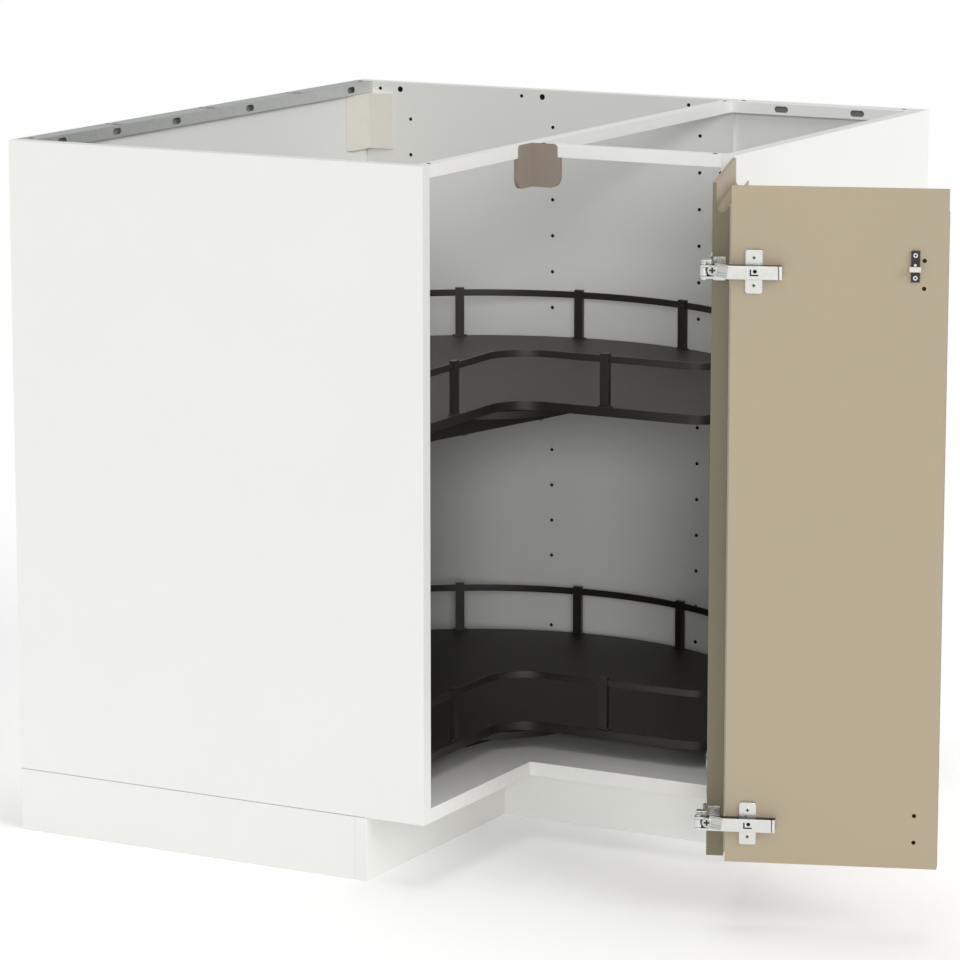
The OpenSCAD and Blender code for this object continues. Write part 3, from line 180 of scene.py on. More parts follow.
def faced_board(name, colour, rough=0.42, mottle=0.03, pearl=0.9):
    """Melamine-faced chipboard: resin paper pressed on a plate with a fine pearl.

    To the eye it is an even satin, with a soft broken highlight and hardly any colour change.
    The pearl's grain is 0.3 mm on the board and drawn at 0.9 mm so that it shows.
    """
    material, tree, mm = empty_material(name)
    clouds = {"Scale": 1 / 140, "Detail": 3, "Roughness": 0.5}
    tone = add_node(tree, "ShaderNodeTexNoise", clouds, {"Vector": mm})
    pearls = {"Scale": 1 / pearl, "Detail": 2, "Roughness": 0.6}
    grain = add_node(tree, "ShaderNodeTexNoise", pearls, {"Vector": mm})
    satin = add_node(
        tree, "ShaderNodeMapRange", spread(rough, 0.05, 0.07), {"Value": grain.outputs["Fac"]}
    )
    relief = {"Strength": 0.35, "Distance": 0.04 * MM}
    bump = add_node(tree, "ShaderNodeBump", relief, {"Height": grain.outputs["Fac"]})
    colours = add_node(tree, "ShaderNodeMix", tints(colour, mottle), {0: tone.outputs["Fac"]})
    surface = add_node(
        tree,
        "ShaderNodeBsdfPrincipled",
        {"IOR": 1.5},
        {
            "Base Color": colours.outputs[2],
            "Roughness": satin.outputs["Result"],
            "Normal": bump.outputs["Normal"],
        },
    )
    add_node(tree, "ShaderNodeOutputMaterial", None, {"Surface": surface.outputs[0]})
    return material


def raw_chipboard(name, colour):
    """Raw chipboard inside drilled holes and grooves: matt brown chips of about 2 mm."""
    material, tree, mm = empty_material(name)
    chips = add_node(tree, "ShaderNodeTexVoronoi", {"Scale": 1 / 2.0}, {"Vector": mm})
    tone = add_node(tree, "ShaderNodeSeparateColor", None, {"Color": chips.outputs["Color"]})
    colours = add_node(tree, "ShaderNodeMix", tints(colour, 0.5), {0: tone.outputs[0]})
    surface = add_node(
        tree,
        "ShaderNodeBsdfPrincipled",
        {"Roughness": 0.9, "IOR": 1.45},
        {"Base Color": colours.outputs[2]},
    )
    add_node(tree, "ShaderNodeOutputMaterial", None, {"Surface": surface.outputs[0]})
    return material


def powder_coat(name, colour, rough=0.35):
    """Powder-coated steel: baked paint with a slight orange peel of about 1.4 mm, satin."""
    material, tree, mm = empty_material(name)
    peel = {"Scale": 1 / 1.4, "Detail": 1, "Roughness": 0.4}
    waves = add_node(tree, "ShaderNodeTexNoise", peel, {"Vector": mm})
    wide = add_node(tree, "ShaderNodeTexNoise", {"Scale": 1 / 60, "Detail": 2}, {"Vector": mm})
    relief = {"Strength": 0.25, "Distance": 0.04 * MM}
    bump = add_node(tree, "ShaderNodeBump", relief, {"Height": waves.outputs["Fac"]})
    satin = add_node(
        tree, "ShaderNodeMapRange", spread(rough, 0.04, 0.06), {"Value": wide.outputs["Fac"]}
    )
    colours = add_node(tree, "ShaderNodeMix", tints(colour, 0.05), {0: wide.outputs["Fac"]})
    surface = add_node(
        tree,
        "ShaderNodeBsdfPrincipled",
        {"IOR": 1.5},
        {
            "Base Color": colours.outputs[2],
            "Roughness": satin.outputs["Result"],
            "Normal": bump.outputs["Normal"],
        },
    )
    add_node(tree, "ShaderNodeOutputMaterial", None, {"Surface": surface.outputs[0]})
    return material


def moulded_plastic(name, colour, rough=0.42):
    """Injection-moulded plastic with a spark-eroded grain: soft sheen, colour all through.

    The grain is 0.2 mm on the part and drawn at 0.8 mm.
    """
    material, tree, mm = empty_material(name)
    grain = {"Scale": 1 / 0.8, "Detail": 3, "Roughness": 0.65}
    spark = add_node(tree, "ShaderNodeTexNoise", grain, {"Vector": mm})
    flow = add_node(tree, "ShaderNodeTexNoise", {"Scale": 1 / 30, "Detail": 2}, {"Vector": mm})
    relief = {"Strength": 0.3, "Distance": 0.03 * MM}
    bump = add_node(tree, "ShaderNodeBump", relief, {"Height": spark.outputs["Fac"]})
    sheen = add_node(
        tree, "ShaderNodeMapRange", spread(rough, 0.06, 0.08), {"Value": spark.outputs["Fac"]}
    )
    colours = add_node(tree, "ShaderNodeMix", tints(colour, 0.06), {0: flow.outputs["Fac"]})
    surface = add_node(
        tree,
        "ShaderNodeBsdfPrincipled",
        {"IOR": 1.49},
        {
            "Base Color": colours.outputs[2],
            "Roughness": sheen.outputs["Result"],
            "Normal": bump.outputs["Normal"],
        },
    )
    add_node(tree, "ShaderNodeOutputMaterial", None, {"Surface": surface.outputs[0]})
    return material


def zinc_sheet(name, colour):
    """Hot-dip galvanised sheet: grey metal with crystal spangles of about 7 mm, half matt."""
    material, tree, mm = empty_material(name)
    spangles = add_node(tree, "ShaderNodeTexVoronoi", {"Scale": 1 / 7.0}, {"Vector": mm})
    tone = add_node(tree, "ShaderNodeSeparateColor", None, {"Color": spangles.outputs["Color"]})
    fine = add_node(tree, "ShaderNodeTexNoise", {"Scale": 1 / 1.2, "Detail": 4}, {"Vector": mm})
    relief = {"Strength": 0.08, "Distance": 0.03 * MM}
    bump = add_node(tree, "ShaderNodeBump", relief, {"Height": fine.outputs["Fac"]})
    matt = {"To Min": 0.35, "To Max": 0.42}
    frost = add_node(tree, "ShaderNodeMapRange", matt, {"Value": tone.outputs[0]})
    colours = add_node(tree, "ShaderNodeMix", tints(colour, 0.06), {0: tone.outputs[1]})
    surface = add_node(
        tree,
        "ShaderNodeBsdfPrincipled",
        {"Metallic": 1.0},
        {
            "Base Color": colours.outputs[2],
            "Roughness": frost.outputs["Result"],
            "Normal": bump.outputs["Normal"],
        },
    )
    add_node(tree, "ShaderNodeOutputMaterial", None, {"Surface": surface.outputs[0]})
    return material


def plated_steel(name, colour, rough):
    """Pressed steel, plated bright: smooth metal with faint drawing lines about 0.5 mm apart."""
    material, tree, mm = empty_material(name)
    stretch = 12
    along = add_node(tree, "ShaderNodeMapping", {"Scale": (1, 1, stretch)}, {"Vector": mm})
    lines = {"Scale": 1 / (0.5 * stretch), "Detail": 3}
    drawn = add_node(tree, "ShaderNodeTexNoise", lines, {"Vector": along.outputs[0]})
    haze = add_node(tree, "ShaderNodeTexNoise", {"Scale": 1 / 9, "Detail": 2}, {"Vector": mm})
    relief = {"Strength": 0.05, "Distance": 0.02 * MM}
    bump = add_node(tree, "ShaderNodeBump", relief, {"Height": drawn.outputs["Fac"]})
    gloss = add_node(
        tree, "ShaderNodeMapRange", spread(rough, 0.06, 0.09), {"Value": haze.outputs["Fac"]}
    )
    colours = add_node(tree, "ShaderNodeMix", tints(colour, 0.08), {0: haze.outputs["Fac"]})
    surface = add_node(
        tree,
        "ShaderNodeBsdfPrincipled",
        {"Metallic": 1.0},
        {
            "Base Color": colours.outputs[2],
            "Roughness": gloss.outputs["Result"],
            "Normal": bump.outputs["Normal"],
        },
    )
    add_node(tree, "ShaderNodeOutputMaterial", None, {"Surface": surface.outputs[0]})
    return material


def film_front(name, colour):
    """Fibreboard wrapped in matt film: even colour, dull sheen, a ripple of about 2.4 mm."""
    material, tree, mm = empty_material(name)
    ripple = add_node(tree, "ShaderNodeTexNoise", {"Scale": 1 / 2.4, "Detail": 2}, {"Vector": mm})
    tone = add_node(tree, "ShaderNodeTexNoise", {"Scale": 1 / 180, "Detail": 2}, {"Vector": mm})
    relief = {"Strength": 0.18, "Distance": 0.03 * MM}
    bump = add_node(tree, "ShaderNodeBump", relief, {"Height": ripple.outputs["Fac"]})
    sheen = add_node(
        tree, "ShaderNodeMapRange", spread(0.5, 0.04, 0.05), {"Value": ripple.outputs["Fac"]}
    )
    colours = add_node(tree, "ShaderNodeMix", tints(colour, 0.035), {0: tone.outputs["Fac"]})
    surface = add_node(
        tree,
        "ShaderNodeBsdfPrincipled",
        {"IOR": 1.5},
        {
            "Base Color": colours.outputs[2],
            "Roughness": sheen.outputs["Result"],
            "Normal": bump.outputs["Normal"],
        },
    )
    add_node(tree, "ShaderNodeOutputMaterial", None, {"Surface": surface.outputs[0]})
    return material


def beech(name, colour):
    """Turned beech dowel: pale wood with growth rings about 2.6 mm apart."""
    material, tree, mm = empty_material(name)
    growth = {"Scale": 0.12, "Distortion": 3.0, "Detail": 3, "Detail Scale": 0.6}
    rings = add_node(tree, "ShaderNodeTexWave", growth, {"Vector": mm})
    colours = add_node(tree, "ShaderNodeMix", tints(colour, 0.3), {0: rings.outputs["Fac"]})
    surface = add_node(
        tree,
        "ShaderNodeBsdfPrincipled",
        {"Roughness": 0.7, "IOR": 1.45},
        {"Base Color": colours.outputs[2]},
    )
    add_node(tree, "ShaderNodeOutputMaterial", None, {"Surface": surface.outputs[0]})
    return material


# Modelling


def new_piece(name, bm, materials, body, node=None):
    """Makes a piece from a bmesh, with its materials, body and finish and the solid it replaces."""
    crease = math.radians(32)
    for face in bm.faces:
        face.smooth = True
    for edge in bm.edges:
        edge.smooth = len(edge.link_faces) == 2 and edge.calc_face_angle(0) < crease
    mesh = bpy.data.meshes.new(name)
    bm.to_mesh(mesh)
    bm.free()
    for material in materials:
        mesh.materials.append(material)
    piece = bpy.data.objects.new(name, mesh)
    bpy.context.scene.collection.objects.link(piece)
    weigh = piece.modifiers.new("Flat faces", "WEIGHTED_NORMAL")
    weigh.keep_sharp = True
    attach(piece, body)
    if node:
        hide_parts(node)


def repaint(material, *nodes):
    """Gives solids that stay as they are a material."""
    for name in nodes:
        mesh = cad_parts[name].data
        mesh.materials.clear()
        mesh.materials.append(material)


def round_edges(bm, edges, radius, segments=2):
    """Rounds some edges of a bmesh by a radius in millimetres."""
    bmesh.ops.bevel(
        bm,
        geom=list(edges),
        offset=radius * MM,
        offset_type="OFFSET",
        segments=segments,
        profile=0.5,
        affect="EDGES",
        clamp_overlap=True,
        material=-1,
    )


def add_box(bm, place, low, high, material=0):
    """Adds a box between two corners in millimetres, at a place."""
    low, high = Vector(low), Vector(high)
    verts = bmesh.ops.create_cube(bm, size=1)["verts"]
    middle = Matrix.Translation((low + high) / 2 * MM)
    shape = middle @ Matrix.Diagonal((*((high - low) * MM), 1))
    bmesh.ops.transform(bm, matrix=place @ shape, verts=verts)
    for vert in verts:
        for face in vert.link_faces:
            face.material_index = material


def add_disc(bm, place, radius, height, segments=32):
    """Adds a disc or a rod in millimetres, standing on a place along its Z."""
    bmesh.ops.create_cone(
        bm,
        cap_ends=True,
        segments=segments,
        radius1=radius * MM,
        radius2=radius * MM,
        depth=height * MM,
        matrix=place @ at(0, 0, height / 2),
    )


def add_screw(bm, place, radius, height, shank, length):
    """Adds a screw in millimetres, its head on a place along Z.

    The head is a grid of 5 by 5 cells drawn out to a circle, and its cross recess is the middle
    cell and its four neighbours, sunk by half the head and painted with the second material, a dark
    painted shade.
    """
    before = set(bm.verts)
    half = radius * MM
    cell = 2 * half / 5
    bmesh.ops.create_grid(bm, x_segments=5, y_segments=5, size=half)
    head = [v for v in bm.verts if v not in before]
    cross = []
    for face in [f for f in bm.faces if f.verts[0] in head]:
        near, far = sorted(abs(c) for c in face.calc_center_median().xy)
        if near < 0.1 * cell and far < 1.5 * cell:
            cross.append(face)
    for v in head:
        reach = max(abs(v.co.x), abs(v.co.y))
        if reach > 0.99 * half:
            v.co *= reach / v.co.length
    rim = [e for e in bm.edges if e.is_boundary and e.verts[0] in head]
    bmesh.ops.inset_region(bm, faces=cross, thickness=0.04 * half, depth=-0.5 * height * MM)
    for face in cross:
        face.material_index = RECESS
    wall = bmesh.ops.extrude_edge_only(bm, edges=rim)["geom"]
    low = [v for v in wall if isinstance(v, bmesh.types.BMVert)]
    bmesh.ops.translate(bm, vec=(0, 0, -height * MM), verts=low)
    foot = [e for e in wall if isinstance(e, bmesh.types.BMEdge) and e.is_boundary]
    bmesh.ops.holes_fill(bm, edges=foot, sides=0)
    made = [v for v in bm.verts if v not in before]
    faces = [f for f in bm.faces if f.verts[0] not in before]
    bmesh.ops.recalc_face_normals(bm, faces=faces)
    bmesh.ops.transform(bm, matrix=place @ at(0, 0, height), verts=made)
    add_disc(bm, place @ at(0, 0, -length), shank, length + 0.2 * height, 12)


def welded_copy(node):
    """A bmesh of a solid, its loose triangles joined at their corners."""
    bm = bmesh.new()
    bm.from_mesh(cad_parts[node].data)
    bmesh.ops.remove_doubles(bm, verts=bm.verts, dist=WELD)
    return bm


def merged_copy(node):
    """A bmesh of a solid, its triangles joined to whole faces."""
    bm = welded_copy(node)
    bmesh.ops.dissolve_limit(bm, angle_limit=FLAT, verts=bm.verts, edges=bm.edges)
    return bm


def ring_copy(node):
    """A bmesh of a ring-shaped solid, its triangles joined in pairs: a whole face has no hole."""
    bm = welded_copy(node)
    bmesh.ops.join_triangles(
        bm, faces=bm.faces, angle_face_threshold=FLAT, angle_shape_threshold=math.radians(180)
    )
    return bm


def rims(bm, height):
    """The closed rows of sharp edges at a height, the widest row first."""
    left = set()
    for edge in bm.edges:
        level = all(abs(v.co.z - height) < 0.01 * MM for v in edge.verts)
        if level and edge.calc_face_angle(0) > math.radians(60):
            left.add(edge)
    rows = []
    while left:
        row = {left.pop()}
        reach = set(row)
        while reach:
            reach = {e for r in reach for v in r.verts for e in v.link_edges if e in left}
            left -= reach
            row |= reach
        rows.append(row)

    def width(row):
        places = [v.co.x for e in row for v in e.verts]
        return max(places) - min(places)

    return sorted(rows, key=width, reverse=True)


def convex_edges(bm, shortest, keep=()):
    """Edges over a length in millimetres that stand out by 30 degrees, off some finishes."""
    return [
        e
        for e in bm.edges
        if len(e.link_faces) == 2
        and e.calc_length() > shortest * MM
        and e.calc_face_angle(0) > math.radians(30)
        and e.is_convex
        and not any(f.material_index in keep for f in e.link_faces)
    ]


def drilled_faces(bm, low, high, largest):
    """Faces under an area in square millimetres that lie within a box's sides, as in a hole."""
    found = []
    for face in bm.faces:
        centre = face.calc_center_median()
        deep = min(min(centre[i] - low[i], high[i] - centre[i]) for i in range(3))
        if deep > 0.3 * MM and face.calc_area() < largest * MM * MM:
            found.append(face)
    return found


def softened(node, radius, segments=2, shortest=4.0, inside=False):
    """A merged copy of a solid with its longer edges rounded, and raw faces inside its holes."""
    bm = merged_copy(node)
    if inside:
        for face in drilled_faces(bm, *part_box(node), 900):
            face.material_index = RAW
    round_edges(bm, convex_edges(bm, shortest, keep=(RAW,)), radius, segments)
    return bm


# Sizes and colours


class CabinetBoards(bpy.types.PropertyGroup):
    """Finishes of the carcass boards."""

    edge_radius: bpy.props.FloatProperty(
        name="Edge radius",
        description="Rounding of the boards' edges",
        default=0.5 * MM,
        min=0.1 * MM,
        max=2.0 * MM,
        precision=4,
        unit="LENGTH",
    )
    face: bpy.props.FloatVectorProperty(
        name="Face",
        description="Colour of the white boards",
        subtype="COLOR",
        default=linear("#eeeeea"),
    )
    raw: bpy.props.FloatVectorProperty(
        name="Raw board",
        description="Colour inside holes and grooves",
        subtype="COLOR",
        default=linear("#4a3a2b"),
    )
    back: bpy.props.FloatVectorProperty(
        name="Back boards",
        description="Colour of the thin back boards",
        subtype="COLOR",
        default=linear("#eeeeea"),
    )


class CabinetMetal(bpy.types.PropertyGroup):
    """Finishes of the rails and fittings."""

    rail: bpy.props.FloatVectorProperty(
        name="White rails",
        description="Colour of the white steel rails",
        subtype="COLOR",
        default=linear("#f6f6f4"),
    )
    zinc: bpy.props.FloatVectorProperty(
        name="Zinc",
        description="Colour of the galvanised rail",
        subtype="COLOR",
        default=linear("#dfe2e1"),
    )
    nickel: bpy.props.FloatVectorProperty(
        name="Nickel",
        description="Colour of the plated hinges",
        subtype="COLOR",
        default=linear("#dcdcd8"),
    )


class CabinetPlastic(bpy.types.PropertyGroup):
    """Finishes of the moulded fittings."""

    ivory: bpy.props.FloatVectorProperty(
        name="Bracket",
        description="Colour of the rear corner bracket",
        subtype="COLOR",
        default=linear("#e8e5dc"),
    )
    taupe: bpy.props.FloatVectorProperty(
        name="Corner stop",
        description="Colour of the doors' corner stop",
        subtype="COLOR",
        default=linear("#988c80"),
    )
    black: bpy.props.FloatVectorProperty(
        name="Black",
        description="Colour of the legs and discs",
        subtype="COLOR",
        default=linear("#202020"),
    )
    white: bpy.props.FloatVectorProperty(
        name="White",
        description="Colour of the connectors and cages",
        subtype="COLOR",
        default=linear("#ebebe7"),
    )


class CabinetTrays(bpy.types.PropertyGroup):
    """Finishes of the trays and their galleries."""

    board: bpy.props.FloatVectorProperty(
        name="Tray",
        description="Colour of the tray boards",
        subtype="COLOR",
        default=linear("#241f1c"),
    )
    edge_radius: bpy.props.FloatProperty(
        name="Edge radius",
        description="Rounding of the trays' edging",
        default=0.8 * MM,
        min=0.2 * MM,
        max=0.9 * MM,
        precision=4,
        unit="LENGTH",
    )
    gallery: bpy.props.FloatVectorProperty(
        name="Gallery",
        description="Colour of the rails and posts",
        subtype="COLOR",
        default=linear("#2b2724"),
    )
    shelf: bpy.props.FloatVectorProperty(
        name="Support shelf",
        description="Colour of the shelf below",
        subtype="COLOR",
        default=linear("#2a2623"),
    )


class CabinetDoors(bpy.types.PropertyGroup):
    """Finishes of the two leaves."""

    film: bpy.props.FloatVectorProperty(
        name="Film",
        description="Colour of the door leaves",
        subtype="COLOR",
        default=linear("#ad9f86"),
    )
    # The ends' darker colour is painted shade
    ends: bpy.props.FloatVectorProperty(
        name="Ends",
        description="Colour of the leaves' upright ends, darker as painted shade",
        subtype="COLOR",
        default=linear("#7b725c"),
    )
    edge_radius: bpy.props.FloatProperty(
        name="Edge radius",
        description="Rounding of the leaves' edges",
        default=0.9 * MM,
        min=0.2 * MM,
        max=2.0 * MM,
        precision=4,
        unit="LENGTH",
    )


class CabinetStage(bpy.types.PropertyGroup):
    """Floor, light and camera."""

    floor: bpy.props.FloatVectorProperty(
        name="Floor",
        description="Colour of the floor",
        subtype="COLOR",
        default=linear("#ffffff"),
    )
    glow: bpy.props.FloatProperty(
        name="Floor glow",
        description="Light from below the floor, as in a lit white sweep",
        default=0.11,
        min=0.0,
    )
    world: bpy.props.FloatProperty(
        name="Surroundings",
        description="Strength of the light from all round",
        default=0.43,
        min=0.0,
    )
    backdrop: bpy.props.FloatProperty(
        name="Backdrop",
        description="Brightness of the backdrop that the camera sees",
        default=1.0,
        min=0.0,
    )
    top: bpy.props.FloatProperty(
        name="Top softbox",
        description="Strength of the light from above",
        default=0.9,
        min=0.0,
    )
    front: bpy.props.FloatProperty(
        name="Front softbox",
        description="Strength of the light from the camera's side",
        default=0.78,
        min=0.0,
    )
    right: bpy.props.FloatProperty(
        name="Right softbox",
        description="Strength of the light from the right",
        default=1.0,
        min=0.0,
    )


# Pieces


class CABINET_OT_boards(bpy.types.Operator):
    """Make the side panels, the bottom, the backs and the plinths"""

    bl_idname = "cabinet.boards"
    bl_label = "Boards"

    def execute(self, context):
        look = context.scene.cabinet_boards
        radius = look.edge_radius / MM
        white = faced_board("White melamine board", look.face)
        raw = raw_chipboard("Raw chipboard", look.raw)
        for node in ("left_side_panel", "inner_side_panel", "end_side_panel", "bottom_panel"):
            bm = softened(node, radius, shortest=12, inside=True)
            new_piece(node + "_faced", bm, (white, raw), "carcass", node)
        for node in ("side_plinth", "front_plinth_long", "front_plinth_short"):
            bm = softened(node, radius, shortest=12)
            new_piece(node + "_faced", bm, (white,), "carcass", node)
        back = faced_board("Painted hardboard", look.back, rough=0.55, pearl=1.6)
        repaint(back, "long_back_panel", "short_back_panel")
        repaint(beech("Beech dowel", linear("#c9a77c")), "panel_dowels")
        return {"FINISHED"}


def runs_along(low, high):
    """The longer way of a rail's box: 0 for X, 1 for Y."""
    return 0 if high[0] - low[0] > high[1] - low[1] else 1


def strip_behind_slots(rail, panel):
    """A strip that closes a rail's inside behind its slots, in front of the back panel; grey, it is
    painted shade seen through the slots.
    """
    # The rail's sheet, the strip's own, and the gap to the panel
    sheet, strip, clear = 1.2, 0.8, 0.1
    low, high = box_in_mm(rail)
    along = runs_along(low, high)
    panel_low, panel_high = box_in_mm(panel)
    low[along] += RAIL_END
    high[along] -= RAIL_END
    high[2] -= sheet
    if along == 1:
        low[0] = panel_high[0] + clear
        high[0] = low[0] + strip
    else:
        high[1] = panel_low[1] - clear
        low[1] = high[1] - strip
    bm = bmesh.new()
    add_box(bm, Matrix(), low, high)
    round_edges(bm, bm.edges, 0.2)
    return bm


def screws_on_connectors(*rails):
    """Screw heads on the connectors' bosses, in the slots at the rails' ends; their dark colour is
    partly painted shade of the slots.
    """
    head, rise, shank, length = 2.6, 0.35, 1.2, 6
    bm = bmesh.new()
    for rail in rails:
        low, high = box_in_mm(rail)
        along = runs_along(low, high)
        for where in (low[along] + RAIL_END / 2, high[along] - RAIL_END / 2):
            centre = (low + high) / 2
            centre[along] = where
            centre[2] = high[2]
            add_screw(bm, at(*centre), head, rise, shank, length)
    return bm


class CABINET_OT_rails(bpy.types.Operator):
    """Make the steel rails along the top"""

    bl_idname = "cabinet.rails"
    bl_label = "Rails"

    def execute(self, context):
        look = context.scene.cabinet_metal
        zinc = zinc_sheet("Galvanised sheet", look.zinc)
        white = powder_coat("White powder coat", look.rail)
        painted_rails = ("rear_short_rail", "long_front_rail", "short_front_rail")
        rail = "suspension_rail"
        bm = softened(rail, 0.5, shortest=30)
        new_piece(rail + "_folded", bm, (zinc,), "carcass", rail)
        for node in painted_rails:
            bm = softened(node, 0.6, shortest=30)
            new_piece(node + "_folded", bm, (white,), "carcass", node)
        plastic = moulded_plastic("White moulded plastic", context.scene.cabinet_plastic.white)
        repaint(plastic, "rail_connectors")

        # A grey strip behind each rail's slots: painted shade seen through them
        slot_shade_grey = powder_coat("Grey painted shade behind the slots", linear("#96958f"), rough=0.6)
        for node, panel, slot in (
            ("suspension_rail", "long_back_panel", "galvanised"),
            ("rear_short_rail", "short_back_panel", "white_steel"),
        ):
            bm = strip_behind_slots(node, panel)
            new_piece(node + "_slot_shade_sheet", bm, (slot_shade_grey,), "carcass")

        bm = screws_on_connectors(rail, *painted_rails)
        # Real screw heads, their dark colour partly painted shade in the slots
        dark = plated_steel("Dark screw steel, darkened as painted shade in the slots", linear("#4a4a48"), rough=0.45)
        black = plated_steel("Shaded screw recess", linear("#202020"), rough=0.6)
        new_piece("connector_screws", bm, (dark, black), "carcass")
        return {"FINISHED"}


class CABINET_OT_corner_pieces(bpy.types.Operator):
    """Make the rear corner bracket and the doors' corner stop"""

    bl_idname = "cabinet.corner_pieces"
    bl_label = "Corner pieces"

    def execute(self, context):
        look = context.scene.cabinet_plastic
        ivory = moulded_plastic("Off-white moulded plastic", look.ivory)
        taupe = moulded_plastic("Taupe moulded plastic", look.taupe, rough=0.45)
        node = "rear_corner_bracket"
        bm = softened(node, 0.8, segments=3)
        new_piece(node + "_moulded", bm, (ivory,), "carcass", node)
        node = "door_corner_stop"
        bm = softened(node, 0.6, shortest=1.0)
        new_piece(node + "_moulded", bm, (taupe,), "carcass", node)
        return {"FINISHED"}


class CABINET_OT_legs(bpy.types.Operator):
    """Finish the legs, their feet and the plinth clips"""

    bl_idname = "cabinet.legs"
    bl_label = "Legs"

    def execute(self, context):
        black = moulded_plastic("Black moulded plastic", context.scene.cabinet_plastic.black)
        repaint(black, "leg_sockets", "levelling_feet", "plinth_clips")
        return {"FINISHED"}


class CABINET_OT_turntables(bpy.types.Operator):
    """Make the support shelf and the two turntables"""

    bl_idname = "cabinet.turntables"
    bl_label = "Shelf and turntables"

    def execute(self, context):
        look = context.scene.cabinet_trays
        plastic = context.scene.cabinet_plastic
        dark = faced_board("Dark melamine board", look.shelf, rough=0.45)
        node = "support_shelf"
        bm = softened(node, 0.5, shortest=12)
        new_piece(node + "_faced", bm, (dark,), "carcass", node)
        black = moulded_plastic("Black disc plastic", plastic.black, rough=0.5)
        repaint(black, "upper_turntable_disc", "lower_turntable_disc", "lower_turntable_spacer")
        zinc = plated_steel("Bright zinc plate", linear("#c4c6c6"), rough=0.3)
        repaint(
            zinc,
            "support_shelf_brackets",
            "upper_turntable_base",
            "lower_turntable_base",
            "upper_base_bolts",
            "lower_base_bolts",
            "upper_tray_screws",
            "lower_tray_screws",
        )
        white = moulded_plastic("White cage plastic", plastic.white)
        repaint(white, "upper_ball_cage", "lower_ball_cage")
        polished = plated_steel("Polished ball steel", linear("#cccccc"), rough=0.12)
        repaint(polished, "upper_balls", "lower_balls")
        return {"FINISHED"}


class CABINET_OT_trays(bpy.types.Operator):
    """Make the tray boards with their edging"""

    bl_idname = "cabinet.trays"
    bl_label = "Trays"

    def execute(self, context):
        look = context.scene.cabinet_trays
        board = faced_board("Dark brown melamine board", look.board, rough=0.5, mottle=0.06)
        edge = moulded_plastic("Dark brown edging", look.board, rough=0.36)
        for level in LEVELS:
            body = level + "_tray"
            repaint(board, level + "_tray_board")
            node = level + "_tray_edging"
            bm = ring_copy(node)
            low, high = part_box(node)
            edges = [e for z in (low[2], high[2]) for e in rims(bm, z)[0]]
            round_edges(bm, edges, look.edge_radius / MM, 3)
            new_piece(level + "_tray_edge_band", bm, (edge,), body, node)
        return {"FINISHED"}


class CABINET_OT_galleries(bpy.types.Operator):
    """Make the gallery rails and their posts"""

    bl_idname = "cabinet.galleries"
    bl_label = "Galleries"

    def execute(self, context):
        paint = powder_coat("Dark brown powder coat", context.scene.cabinet_trays.gallery)
        for level in LEVELS:
            body = level + "_tray"
            rail, posts = level + "_gallery_rail", level + "_gallery_posts"
            bm = ring_copy(rail)
            low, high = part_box(rail)
            edges = [e for z in (low[2], high[2]) for row in rims(bm, z) for e in row]
            round_edges(bm, edges, 0.7, 3)
            name = level + "_gallery_strip"
            new_piece(name, bm, (paint,), body, rail)
            bm = softened(posts, 0.6, shortest=1.0)
            name = level + "_gallery_uprights"
            new_piece(name, bm, (paint,), body, posts)
        return {"FINISHED"}


def drilled_leaf_faces(bm):
    """Faces of an open leaf that lie in its holes and cups, 50 mm or more below its top."""
    bmesh.ops.transform(bm, matrix=opened().inverted(), verts=bm.verts)
    low = [min(v.co[i] for v in bm.verts) for i in range(3)]
    high = [max(v.co[i] for v in bm.verts) for i in range(3)]
    under = high[2] - 50 * MM
    holes = drilled_faces(bm, low, high, 1500)
    found = [face for face in holes if face.calc_center_median().z < under]
    bmesh.ops.transform(bm, matrix=opened(), verts=bm.verts)
    return found


class CABINET_OT_doors(bpy.types.Operator):
    """Make the hinged and the folding door leaf"""

    bl_idname = "cabinet.doors"
    bl_label = "Doors"

    def execute(self, context):
        look = context.scene.cabinet_doors
        film = film_front("Beige film on fibreboard", look.film)
        raw = raw_chipboard("Raw fibreboard", linear("#8a6f4f"))
        ends = film_front("Beige film on the leaves' ends, darkened as painted shade", look.ends)
        shut = opened().to_3x3().inverted()
        for node, body, along in (
            ("hinged_door_leaf", "hinged_leaf", 0),
            ("folding_door_leaf", "folding_leaf", 1),
        ):
            bm = merged_copy(node)
            for face in drilled_leaf_faces(bm):
                face.material_index = RAW
            # The upright end faces get the darker film: painted shade, where one leaf shades the
            # other's end
            for face in bm.faces:
                if face.material_index == FACED and abs((shut @ face.normal)[along]) > 0.9:
                    face.material_index = PAINTED_SHADE_ENDS
            round_edges(bm, convex_edges(bm, 8, keep=(RAW,)), look.edge_radius / MM, 3)
            new_piece(node + "_wrapped", bm, (film, raw, ends), body, node)
        return {"FINISHED"}


def pressed_hinge_sheet(node):
    """The plates or the arms of the fold hinges, softened, with painted shade on their sides and
    painted black shadow in the arms' openings.
    """
    bm = ring_copy(node)
    for face in bm.faces:
        centre = face.calc_center_median()
        middle = min(HINGE_Z, key=lambda z: abs(z * MM - centre.z))
        x, y, z = hinge_place(middle).inverted() @ centre / MM
        # Faces that look up or down: painted shade and reflection
        if abs(face.normal.z) > 0.9:
            face.material_index = SHADED
        below_top = node == "fold_hinge_arms" and y < ARM_TOP
        in_window = -33 < x < -22 and abs(z) < 5
        in_groove = -56.2 < x < -55
        # The window's and the groove's faces are black as painted shadow
        if below_top and (in_window or in_groove):
            face.material_index = PAINTED_SHADOW
    round_edges(bm, convex_edges(bm, 0.5, keep=(PAINTED_SHADOW,)), 0.4)
    return bm


